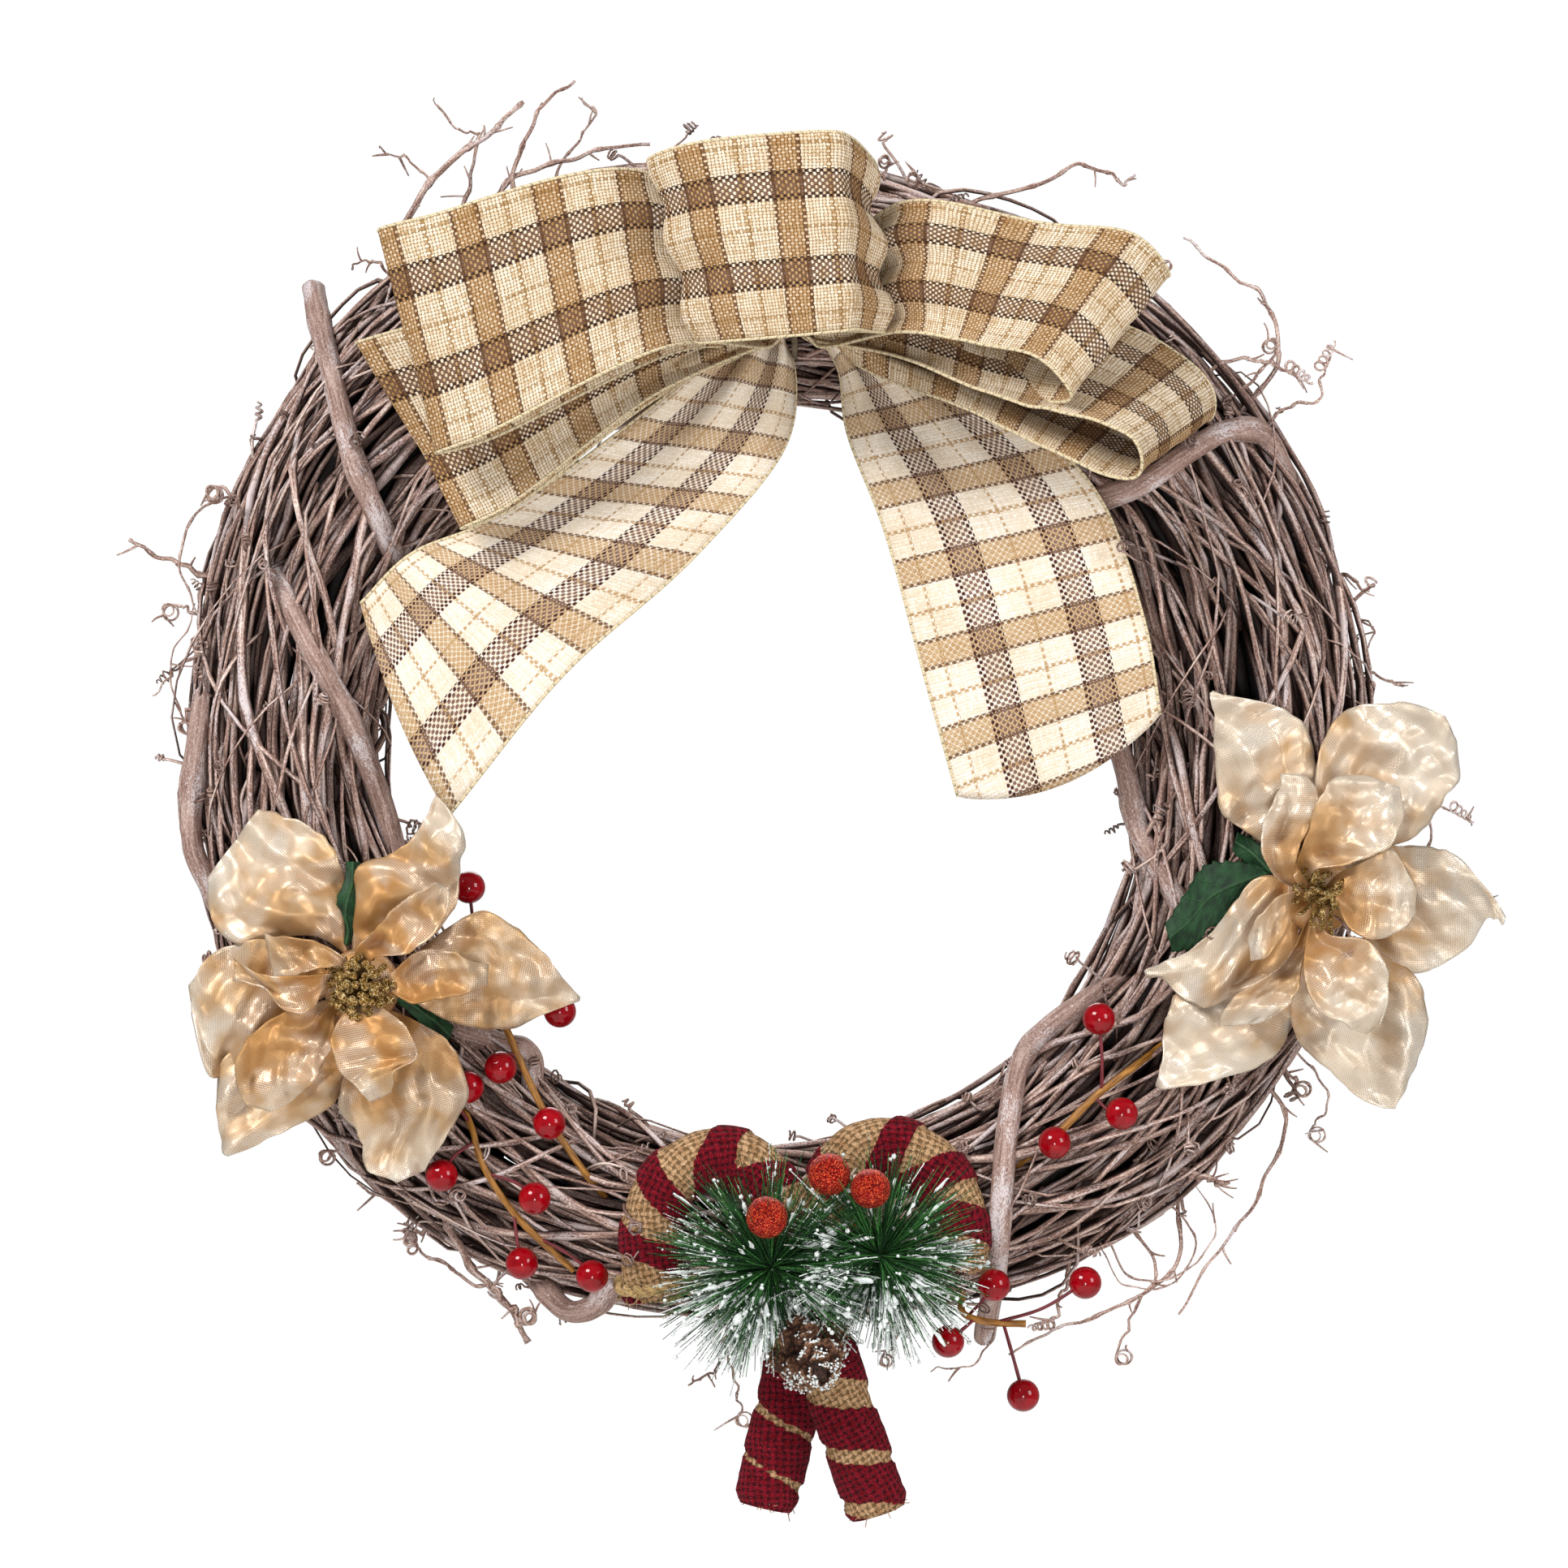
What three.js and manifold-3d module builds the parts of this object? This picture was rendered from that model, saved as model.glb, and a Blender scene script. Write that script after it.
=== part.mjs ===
// A christmas wreath: a wound grapevine ring with a plaid ribbon bow, two fabric poinsettias, berry picks,
// and a crossed pair of burlap candy canes with snowy pine, glitter berries and a small cone.
// Millimetres. X runs to the viewer's right, Y back towards the wall, Z up. Lengths are laid out from the
// middle of the ring, and the group at the end is lowered so that the origin is the hanging point.
import * as THREE from "three";
import { mergeVertices } from "three/addons/utils/BufferGeometryUtils.js";
import Module from "manifold-3d";

const wasm = await Module();
wasm.setup();

// Driving dimensions of the vine ring.
const HANGING_HEIGHT = 109; // the top of the hole, above the middle of the ring
const RING_DEPTH = 48;
const RING_BACK = 20.5; // the flat that lies against the wall
const RIDGES = 16; // strands that show round the section
const RIDGE_HEIGHT = 2.7;
const RING_TWIST = 1.5; // turns of the strands about the bundle in one round of the ring
const ARCS = 8;
const ARC_SECTIONS = 5;
// Middle radius and half width of the bundle every 30 degrees, from the viewer's right, over the top.
const RING_MIDDLE = [147.5, 147.5, 146.5, 146.5, 150, 153.5, 152, 152, 153, 149, 153.5, 153];
const RING_HALF_WIDTH = [35.5, 35, 34, 36.5, 37, 33, 28, 31, 28, 25, 29, 33];

const CLEARANCE = 0.3; // left between pieces that touch on the real wreath
const RIBBON_THICKNESS = 1.0;
const PETAL_THICKNESS = 0.9;
const BERRY_RADIUS = 5;
const VINE_RADIUS = 3.5;

// The seeded draws that place strands and needles.
function makeRandom(seed) {
  let state = seed;
  return () => {
    state = (state * 1664525 + 1013904223) % 4294967296;
    return state / 4294967296;
  };
}

// A closed solid from a list of points and triangles of their indices.
function solid(points, triangles) {
  const vertProperties = new Float32Array(points.length * 3);
  points.forEach((p, i) => vertProperties.set([p.x, p.y, p.z], 3 * i));
  const mesh = new wasm.Mesh({ numProp: 3, vertProperties, triVerts: new Uint32Array(triangles) });
  return new wasm.Manifold(mesh);
}

// A skin over closed loops of equally many points, with a fan over the first and the last loop.
function skin(loops) {
  const n = loops[0].length;
  const points = loops.flat();
  const triangles = [];
  for (let j = 0; j + 1 < loops.length; j++) {
    for (let i = 0; i < n; i++) {
      const a = j * n + i;
      const b = j * n + ((i + 1) % n);
      triangles.push(a, b, b + n, a, b + n, a + n);
    }
  }
  for (const end of [0, loops.length - 1]) {
    const middle = new THREE.Vector3();
    loops[end].forEach((p) => middle.addScaledVector(p, 1 / n));
    points.push(middle);
    const hub = points.length - 1;
    for (let i = 0; i < n; i++) {
      const a = end * n + i;
      const b = end * n + ((i + 1) % n);
      triangles.push(...(end ? [a, b, hub] : [b, a, hub]));
    }
  }
  const made = solid(points, triangles);
  return made.volume() < 0 ? solid(points, triangles.slice().reverse()) : made;
}

// Points along a smooth curve through the given ones.
function curve(points, count) {
  const spline = new THREE.CatmullRomCurve3(points, false, "centripetal");
  return Array.from({ length: count }, (_, i) => spline.getPoint(i / (count - 1)));
}

// A round rod along a list of points. The radius may be a number or a function of the share of the way along.
function rod(points, radius, sides = 6, flatten = 1) {
  const size = typeof radius === "function" ? radius : () => radius;
  const loops = [];
  let across = null;
  points.forEach((p, i) => {
    const along = points[Math.min(i + 1, points.length - 1)].clone();
    along.sub(points[Math.max(i - 1, 0)]).normalize();
    if (!across) {
      across = new THREE.Vector3(0, 1, 0);
      if (Math.abs(along.y) > 0.9) across.set(1, 0, 0);
    }
    across.addScaledVector(along, -across.dot(along)).normalize();
    const third = new THREE.Vector3().crossVectors(along, across);
    const r = size(i / (points.length - 1));
    const loop = [];
    for (let k = 0; k < sides; k++) {
      const a = (2 * Math.PI * (k + 0.5)) / sides;
      const q = p.clone().addScaledVector(across, r * flatten * Math.cos(a));
      loop.push(q.addScaledVector(third, r * Math.sin(a)));
    }
    loops.push(loop);
  });
  return skin(loops);
}

// A thin solid over a surface f(u, v), with u and v from 0 to 1. Both faces are split into triangles alike.
// Its edges are carried out by the length given as grow.
function sheet(f, nu, nv, thickness, grow = 0) {
  const points = [];
  const step = 1e-3;
  const index = (i, j, side) => (i * (nv + 1) + j) * 2 + side;
  for (let i = 0; i <= nu; i++) {
    for (let j = 0; j <= nv; j++) {
      const u = i / nu;
      const v = j / nv;
      const p = f(u, v);
      const alongU = f(Math.min(u + step, 1), v).sub(f(Math.max(u - step, 0), v));
      const alongV = f(u, Math.min(v + step, 1)).sub(f(u, Math.max(v - step, 0)));
      const normal = new THREE.Vector3().crossVectors(alongU, alongV).normalize();
      if (i === 0 || i === nu) p.addScaledVector(alongU.normalize(), i ? grow : -grow);
      if (j === 0 || j === nv) p.addScaledVector(alongV.normalize(), j ? grow : -grow);
      points.push(p.clone().addScaledVector(normal, -thickness / 2));
      points.push(p.clone().addScaledVector(normal, thickness / 2));
    }
  }
  const triangles = [];
  const quad = (a, b, c, d) => triangles.push(a, b, c, a, c, d);
  for (let i = 0; i < nu; i++) {
    for (let j = 0; j < nv; j++) {
      const [a, b, c, d] = [index(i, j, 1), index(i + 1, j, 1), index(i + 1, j + 1, 1), index(i, j + 1, 1)];
      quad(a, b, c, d);
      triangles.push(a - 1, c - 1, b - 1, a - 1, d - 1, c - 1);
    }
    quad(index(i, 0, 0), index(i + 1, 0, 0), index(i + 1, 0, 1), index(i, 0, 1));
    quad(index(i, nv, 1), index(i + 1, nv, 1), index(i + 1, nv, 0), index(i, nv, 0));
  }
  for (let j = 0; j < nv; j++) {
    quad(index(0, j, 1), index(0, j + 1, 1), index(0, j + 1, 0), index(0, j, 0));
    quad(index(nu, j, 0), index(nu, j + 1, 0), index(nu, j + 1, 1), index(nu, j, 1));
  }
  const made = solid(points, triangles);
  return made.volume() < 0 ? solid(points, triangles.reverse()) : made;
}

// A ball at a place: one of few flat sides, or of more where detail is 1 or 2.
function ball(radius, x, y, z, detail = 1) {
  const g = detail ? new THREE.SphereGeometry(radius, 6 + detail, 4) : new THREE.OctahedronGeometry(radius);
  g.deleteAttribute("uv");
  g.deleteAttribute("normal");
  const merged = mergeVertices(g, 1e-4);
  const p = merged.attributes.position;
  const points = [];
  for (let i = 0; i < p.count; i++) points.push(new THREE.Vector3(p.getX(i) + x, p.getY(i) + y, p.getZ(i) + z));
  return solid(points, [...merged.index.array]);
}

function fuse(parts) {
  return wasm.Manifold.union(parts);
}

const vec = (x, y, z) => new THREE.Vector3(x, y, z);

// A value given at equal steps round the ring, read smoothly at any angle in radians.
function around(values, angle) {
  const n = values.length;
  const at = (((angle / (2 * Math.PI)) % 1) + 1) % 1 * n;
  const i = Math.floor(at);
  const t = at - i;
  const [a, b, c, d] = [-1, 0, 1, 2].map((k) => values[(i + k + n) % n]);
  return b + 0.5 * t * (c - a + t * (2 * a - 5 * b + 4 * c - d + t * (3 * (b - c) + d - a)));
}

// A point on the bundle of vines: angle goes round the ring, turn goes round the section, from the outer
// edge over the back, and out is the height above the section's outline.
function onRing(angle, turn, out) {
  const middle = around(RING_MIDDLE, angle);
  const half = around(RING_HALF_WIDTH, angle);
  const r = middle + (half + out) * Math.cos(turn);
  const y = Math.min((RING_DEPTH / 2 + out) * Math.sin(turn), RING_BACK);
  return vec(r * Math.cos(angle), y, r * Math.sin(angle));
}

// One loop of the bundle's section: a ridge for each strand with a groove between, twisting and wandering.
function ringSection(angle) {
  const loop = [];
  const count = 2 * RIDGES;
  for (let k = 0; k < count; k++) {
    const start = (2 * Math.PI * k) / count;
    const wander = 0.09 * Math.sin(4 * angle + 3 * start) + 0.07 * Math.sin(9 * angle + 5 * start);
    const turn = start + RING_TWIST * angle + wander;
    const swell = 1.3 * Math.sin(3 * start + 5 * angle) + 0.9 * Math.sin(7 * start - 11 * angle);
    const out = k % 2 ? -RIDGE_HEIGHT : 0;
    loop.push(onRing(angle, turn, out + swell));
  }
  return loop;
}

// A strand that leaves the bundle at one place, runs over it and goes back in at another.
function looseStrand(from, to, radius, lift) {
  const points = [];
  const steps = 5;
  for (let i = 0; i <= steps; i++) {
    const t = i / steps;
    const angle = THREE.MathUtils.lerp(from[0], to[0], t);
    const turn = THREE.MathUtils.lerp(from[1], to[1], t);
    points.push(onRing(angle, turn, -5 + lift * Math.sqrt(Math.abs(Math.sin(Math.PI * t)))));
  }
  return rod(points, radius, 4);
}

// A twig that leaves the ring, given by points of X, Y and Z, with a tapering stem. A curl may end it: coils
// of the given radius about the line of the twig's last step.
function twig(points, thick, coil) {
  let path = curve(points.map((p) => vec(...p)), 1 + points.length * 2 - (coil ? 1 : 2));
  if (coil) {
    const end = path[path.length - 1];
    const along = end.clone().sub(path[path.length - 2]).normalize();
    const side = vec(-along.z, 0, along.x);
    const steps = Math.round(coil.turns * 6);
    for (let i = 1; i <= steps; i++) {
      const a = (2 * Math.PI * i) / 6;
      const r = coil.radius * (1 - (0.35 * i) / steps);
      const p = end.clone().addScaledVector(along, r * Math.sin(a) + (coil.pitch * i) / 6);
      p.addScaledVector(side, r * (1 - Math.cos(a)));
      p.y -= (coil.rise * i) / 6;
      path.push(p);
    }
  }
  return rod(path, (t) => thick * (1 - 0.45 * t), 3);
}

// The strands that break away from the ring, and their curls, each in the arc that it grows from.
// Points run from the root inside the ring outwards.
const CURL = { turns: 1.34, radius: 3.2, pitch: 0.8, rise: 1.6 };
const SPRING = { turns: 2.2, radius: 3, pitch: 2.6, rise: 0.6 };
const TWIGS = [
  { path: [[-112, 2, 134], [-119, -6, 152], [-106, -9, 176], [-89, -10, 191], [-78, -8, 200]], thick: 1.3 },
  { path: [[-98, 4, 138], [-97.5, -2, 164], [-91, -6, 191]], thick: 0.9 },
  { path: [[-76, 0, 152], [-81, -5, 178], [-74, -8, 196], [-63, -6, 208]], thick: 0.9 },
  { path: [[-62, 6, 156], [-67, 3, 182], [-58, 0, 194]], thick: 0.8, coil: CURL },
  { path: [[-92, -2, 160], [-85, -4, 174], [-64, -4, 184], [-39, -3, 188]], thick: 1.1 },
  { path: [[30, -2, 160], [33, -8, 178], [36, -10, 184]], thick: 0.8, coil: CURL },
  { path: [[54, -4, 158], [62, -10, 170], [81, -14, 175], [94, -15, 182], [104, -14, 179]], thick: 0.9, coil: CURL },
  { path: [[101, 2, 136], [114, -2, 150], [126, -4, 158], [140, -6, 150], [151, -6, 140]], thick: 0.9 },
  { path: [[124, -2, 112], [139, -8, 120], [152, -10, 122], [161, -10, 120]], thick: 1, coil: SPRING },
  { path: [[160, 4, 48], [172, 0, 56], [180, -3, 53]], thick: 0.8, coil: CURL },
  { path: [[164, 2, 22], [184, 0, 26], [196, -2, 20]], thick: 0.8 },
  { path: [[168, 8, -16], [188, 6, -22], [203, 2, -24]], thick: 0.9, coil: SPRING },
  { path: [[168, 8, -34], [192, 6, -42], [212, 4, -48], [220, 2, -48]], thick: 0.9, coil: CURL },
  { path: [[146, 4, -84], [158, 0, -100], [164, -3, -104]], thick: 0.8, coil: CURL },
  { path: [[140, 4, -92], [159, 0, -114], [151, -4, -134], [141, -6, -151], [124, -4, -174]], thick: 1.1 },
  { path: [[104, 0, -140], [118, -4, -160], [111, -6, -174], [106, -6, -186]], thick: 1 },
  { path: [[92, 2, -148], [90, -2, -166], [84, -5, -176]], thick: 0.8, coil: CURL },
  { path: [[-16, 6, -156], [-16, 4, -184], [-20, 2, -194], [-27, 0, -196]], thick: 0.8 },
  { path: [[-96, 4, -134], [-108, -2, -150], [-116, -6, -150]], thick: 0.8, coil: CURL },
  { path: [[-100, 2, -128], [-96, -4, -152], [-86, -6, -170], [-72, -6, -182]], thick: 1.8 },
  { path: [[-116, 4, -116], [-124, -2, -128], [-138, -4, -126]], thick: 0.8, coil: CURL },
  { path: [[-160, 4, 52], [-178, -2, 55], [-189, -6, 60], [-201, -8, 65]], thick: 1 },
  { path: [[-160, 0, 40], [-178, -4, 42], [-186, -6, 46]], thick: 0.8, coil: CURL },
  { path: [[-150, 0, 74], [-166, -6, 78], [-174, -8, 84]], thick: 1.2 },
];

// The thick vines that bind the bundle. Each is laid over its front, with both ends sunk into it, and its
// depth follows the bundle's face.
function boundVine(points, radius, out) {
  return curve(
    points.map(([x, z, sink]) => {
      const angle = Math.atan2(z, x);
      const middle = around(RING_MIDDLE, angle);
      const half = around(RING_HALF_WIDTH, angle);
      const share = THREE.MathUtils.clamp((Math.hypot(x, z) - middle) / half, -0.96, 0.96);
      const y = -(RING_DEPTH / 2) * Math.sqrt(1 - share * share) - out + (sink || 0);
      return vec(x, y, z);
    }),
    1 + 2 * points.length,
  );
}
const BINDING_VINES = {
  binding_vine_upper_left: [[-141, 132, 7], [-136, 114], [-129, 89], [-119, 64, 6]],
  binding_vine_mid_left: [[-150, 46, 6], [-141, 29], [-131, 9], [-122, -14], [-117, -34, 5]],
  binding_vine_outer_left: [[-178, 8, 5], [-180.5, -16], [-180, -30], [-173, -46, 5]],
  binding_vine_right: [[96, 77, 5], [111, 81], [126, 91], [138, 98], [150, 98], [157, 88, 6]],
  binding_vine_inner_right: [[106, 4, 5], [109, -9], [112, -24], [124, -46, 6]],
  binding_vine_lower_right: [[101, -74, 5], [84, -86], [76, -96], [71, -119], [69, -146], [67, -168, 6]],
  binding_vine_bottom: [[-71, -167, 5], [-64, -173], [-56, -172], [-50, -164, 5]],
  binding_vine_lower_left: [[-99, -86, 5], [-86, -90], [-76, -94], [-75, -104, 5]],
};

// The ribbon. A piece is given as rows across it from the knot outwards: each row holds its two edges.
// The pieces are stacked at the knot from the ring forwards, LAYER apart.
const KNOT = { x: 2.5, z: 131, back: -27.5, half: 12 };
const LAYER = RIBBON_THICKNESS + CLEARANCE;
function knotRow(side, layer) {
  const x = KNOT.x + side * 1.8;
  const y = KNOT.back - LAYER * layer;
  return [[x, y, KNOT.z + KNOT.half], [x, y, KNOT.z - KNOT.half]];
}
function nearKnotRow(side, layer, reach, spread) {
  const x = KNOT.x + side * reach;
  const y = KNOT.back - LAYER * layer;
  return [[x, y, KNOT.z + KNOT.half + spread], [x, y, KNOT.z - KNOT.half - spread]];
}
const RIBBONS = {
  tail_left: [
    knotRow(-1, 0),
    nearKnotRow(-1, 0, 5, -1),
    [[-16, -28.5, 123], [-4, -28.5, 113]],
    [[-44, -28.5, 97], [-2, -30, 92]],
    [[-89, -29, 70], [-27, -33, 58]],
    [[-112, -29, 60], [-64, -30, 24]],
    [[-127, -30, 45], [-100, -27, -20]],
  ],
  tail_right: [
    knotRow(1, 0),
    nearKnotRow(1, 0, 5, -1),
    [[34, -28.5, 128], [19, -28.5, 118]],
    [[68, -28.5, 108], [22, -29, 98]],
    [[98, -29, 80], [34, -32, 66]],
    [[113, -31, 40], [46, -31, 22]],
    [[119, -30, 10], [56, -27, -14]],
  ],
  loop_lower_left: [
    knotRow(-1, 1),
    nearKnotRow(-1, 1, 6, 2),
    [[-44, -32, 142], [-36, -32, 108]],
    [[-110, -35, 128], [-82, -35, 73]],
    [[-128, -39, 124], [-95, -39, 68]],
    [[-110, -43, 129], [-82, -43, 74]],
    [[-44, -37, 143], [-36, -37, 109]],
    nearKnotRow(-1, 2, 6, 2),
    knotRow(-1, 2),
  ],
  loop_upper_left: [
    knotRow(-1, 3),
    nearKnotRow(-1, 3, 7, 3),
    [[-36, -41, 168], [-28, -41, 122]],
    [[-104, -47, 156], [-88, -47, 94]],
    [[-120, -54, 157], [-102, -54, 90]],
    [[-104, -61, 161], [-88, -61, 95]],
    [[-40, -58, 175], [-32, -58, 122]],
    nearKnotRow(-1, 4, 8, 4),
    knotRow(-1, 4),
  ],
  loop_lower_right: [
    knotRow(1, 1),
    nearKnotRow(1, 1, 6, 2),
    [[46, -32, 136], [44, -32, 114]],
    [[118, -35, 116], [88, -36, 89]],
    [[134, -39.5, 107], [108, -43, 82]],
    [[117, -43.5, 121], [92, -50, 91]],
    [[46, -36.5, 138], [44, -36.5, 116]],
    nearKnotRow(1, 2, 6, 2),
    knotRow(1, 2),
  ],
  loop_upper_right: [
    knotRow(1, 3),
    nearKnotRow(1, 3, 7, 3),
    [[44, -42, 160], [42, -44, 122]],
    [[108, -47, 152], [80, -55, 108]],
    [[121, -53, 145], [88, -61, 103]],
    [[108, -59, 155], [78, -69, 109]],
    [[40, -57, 166], [40, -58, 122]],
    nearKnotRow(1, 4, 8, 4),
    knotRow(1, 4),
  ],
  loop_centre: [
    [[1, KNOT.back - LAYER * 5, 152], [1, KNOT.back - LAYER * 5, 116]],
    [[-12, KNOT.back - LAYER * 5 - 8, 165], [-10, KNOT.back - LAYER * 5 - 8, 121]],
    [[-27, -62, 178], [-18, -62, 123]],
    [[-39, -66, 181], [-24, -66, 125]],
    [[-26, -76, 185], [-12, -76, 127]],
    [[4, -79, 187], [12, -79, 127]],
    [[28, -75, 187], [32, -75, 128]],
    [[38, -67, 178], [39, -67, 128]],
    [[24, -61.5, 172], [28, -61.5, 127]],
    [[14, KNOT.back - LAYER * 5 - 8, 162], [14, KNOT.back - LAYER * 5 - 8, 121]],
    [[4, KNOT.back - LAYER * 5, 152], [4, KNOT.back - LAYER * 5, 116]],
  ],
};
const RIBBON_STEPS = { tail_left: 9, tail_right: 9, loop_centre: 16 };
const RIBBON_WAVE = { tail_left: 1.6, tail_right: 1.6 };

// The surface of a piece of ribbon: u from the knot outwards and v from its first edge to its second.
// Pleats start at the knot and die out, and a tail also waves.
function ribbonSurface(name) {
  const rows = RIBBONS[name];
  const edges = [0, 1].map((k) => {
    return new THREE.CatmullRomCurve3(rows.map((row) => vec(...row[k])), false, "centripetal");
  });
  return (u, v) => {
    const [a, b] = edges.map((edge) => edge.getPoint(u));
    const p = a.lerp(b, v);
    p.y += (RIBBON_WAVE[name] || 0) * Math.sin(5 * u + 2) * Math.sin(6 * v + 7 * u) * Math.min(1, 4 * u);
    return p;
  };
}

// A poinsettia's petal or leaf: a pointed blade from near the flower's middle, waved and cupped.
function blade(at, spec, grow) {
  const [angle, length, width, rise, droop, phase, start] = spec;
  const a = THREE.MathUtils.degToRad(angle);
  const along = vec(Math.cos(a), 0, Math.sin(a));
  const across = vec(-Math.sin(a), 0, Math.cos(a));
  const surface = (u, v) => {
    const s = 2 * v - 1;
    const outline = Math.pow(Math.sin(Math.PI * Math.pow(0.01 + 0.97 * u, 1.05)), 0.9);
    const half = 0.5 * width * outline + 0.5;
    const forward = rise * Math.sin(Math.PI * 0.8 * u) - droop * u * u;
    const fold = 2.4 * Math.abs(s) * Math.sin(Math.PI * u);
    const wave = 1.1 * s * Math.sin(9 * u + phase) * u + 0.8 * Math.sin(6 * u + phase) * u * u;
    const p = at.clone().addScaledVector(along, start + (length - start) * u - 2 * s * s * u);
    p.addScaledVector(across, half * s);
    p.y -= forward + wave - fold;
    return p;
  };
  return sheet(surface, start > 2 ? 5 : 3, 2, PETAL_THICKNESS + 2 * grow, grow);
}

// The two poinsettias. Each blade: angle, length, width, forward rise, droop, phase of its wave, start.
const FLOWERS = {
  left: {
    at: [-126, -33, -72],
    petals: [
      [124, 62.6, 38, 8, 5, 0.5, 3],
      [61, 66, 36, 10, 3, 2.1, 3],
      [-2, 67, 37, 8, 2, 4.2, 3],
      [-74, 64.5, 44, 10, 5, 1.4, 3],
      [-131, 66.5, 44, 8, 5, 3.3, 3],
      [184, 55.5, 40, 10, 6, 5.1, 3],
      [95, 30, 20, 13, 2, 0.9, 2],
      [28, 34, 21, 15, 2, 2.7, 2],
      [-20, 30, 20, 13, 2, 4.4, 2],
      [-100, 33, 24, 15, 2, 5.6, 2],
      [-152, 34, 24, 13, 2, 1.8, 2],
      [150, 32, 22, 15, 2, 3.9, 2],
    ],
    leaves: [[96, 44, 10, 1.5, 0, 1, 2], [-36, 42, 12, 1.5, 0, 3, 2]],
    stamens: 7,
  },
  right: {
    at: [166, -33, -44],
    petals: [
      [118, 70, 40, 8, 4, 0.2, 3],
      [51, 64, 47, 10, 5, 1.9, 3],
      [-9, 58.5, 40, 8, 5, 3.7, 3],
      [-71, 69.6, 44, 10, 5, 5.2, 3],
      [-127, 77, 42, 8, 3, 2.4, 3],
      [-154, 60, 32, 10, 3, 4.6, 3],
      [92, 36, 22, 13, 2, 0.4, 2],
      [46, 38, 23, 15, 2, 2.2, 2],
      [-30, 36, 22, 13, 2, 3.4, 2],
      [-92, 34, 20, 15, 2, 5.0, 2],
      [-150, 34, 22, 13, 2, 1.1, 2],
      [150, 32, 20, 15, 2, 4.0, 2],
    ],
    leaves: [[-177, 54, 26, 1.5, 0, 2, 2], [146, 34, 12, 1.5, 0, 4, 2]],
    stamens: 7,
  },
};

// A foot that pins a piece to the ring: a short stem from the piece back into the vines.
function foot(x, z, front, back, radius, sides = 6) {
  return rod([vec(x, front, z), vec(x, (front + back) / 2, z), vec(x, back, z)], radius, sides);
}

function poinsettia(name, grow) {
  const flower = FLOWERS[name];
  const [x, y, z] = flower.at;
  const middle = vec(x, y, z);
  const petals = flower.petals.map((spec, i) => {
    const at = middle.clone().setY(y - (i > 5 ? 6.5 : 0) - (i % 2) * 3);
    return blade(at, spec, grow);
  });
  petals.push(foot(x, z, y - 10.5 - grow, y + 2 + grow, 4.5 + grow, 6));
  return fuse(petals);
}

function poinsettiaLeaves(name, grow) {
  const flower = FLOWERS[name];
  const [x, y, z] = flower.at;
  const middle = vec(x, y + 6, z);
  const leaves = flower.leaves.map((spec) => blade(middle, spec, grow));
  leaves.push(foot(x, z, y + 2.3 - grow, y + 9 + grow, 5 + grow, 6));
  leaves.push(foot(x, z, y + 8, y + 24 + grow, 2 + grow, 5));
  return fuse(leaves);
}

function stamens(name, grow) {
  const flower = FLOWERS[name];
  const [x, y, z] = flower.at;
  const random = makeRandom(name === "left" ? 5 : 9);
  const parts = [foot(x, z, y - 13.5, y - 10.8 + grow, 4 + grow, 6)];
  for (let i = 0; i < flower.stamens; i++) {
    const a = (2 * Math.PI * i) / flower.stamens + 0.5 * random();
    const reach = 3 + 6 * random();
    const tip = vec(x + reach * Math.cos(a), y - 17 - 5 * random(), z + reach * Math.sin(a));
    const root = vec(x + 0.25 * reach * Math.cos(a), y - 12, z + 0.25 * reach * Math.sin(a));
    parts.push(rod([root, tip], 0.6 + grow, 3));
    parts.push(ball(1.7 + grow, tip.x, tip.y, tip.z, 0));
  }
  return fuse(parts);
}

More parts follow.
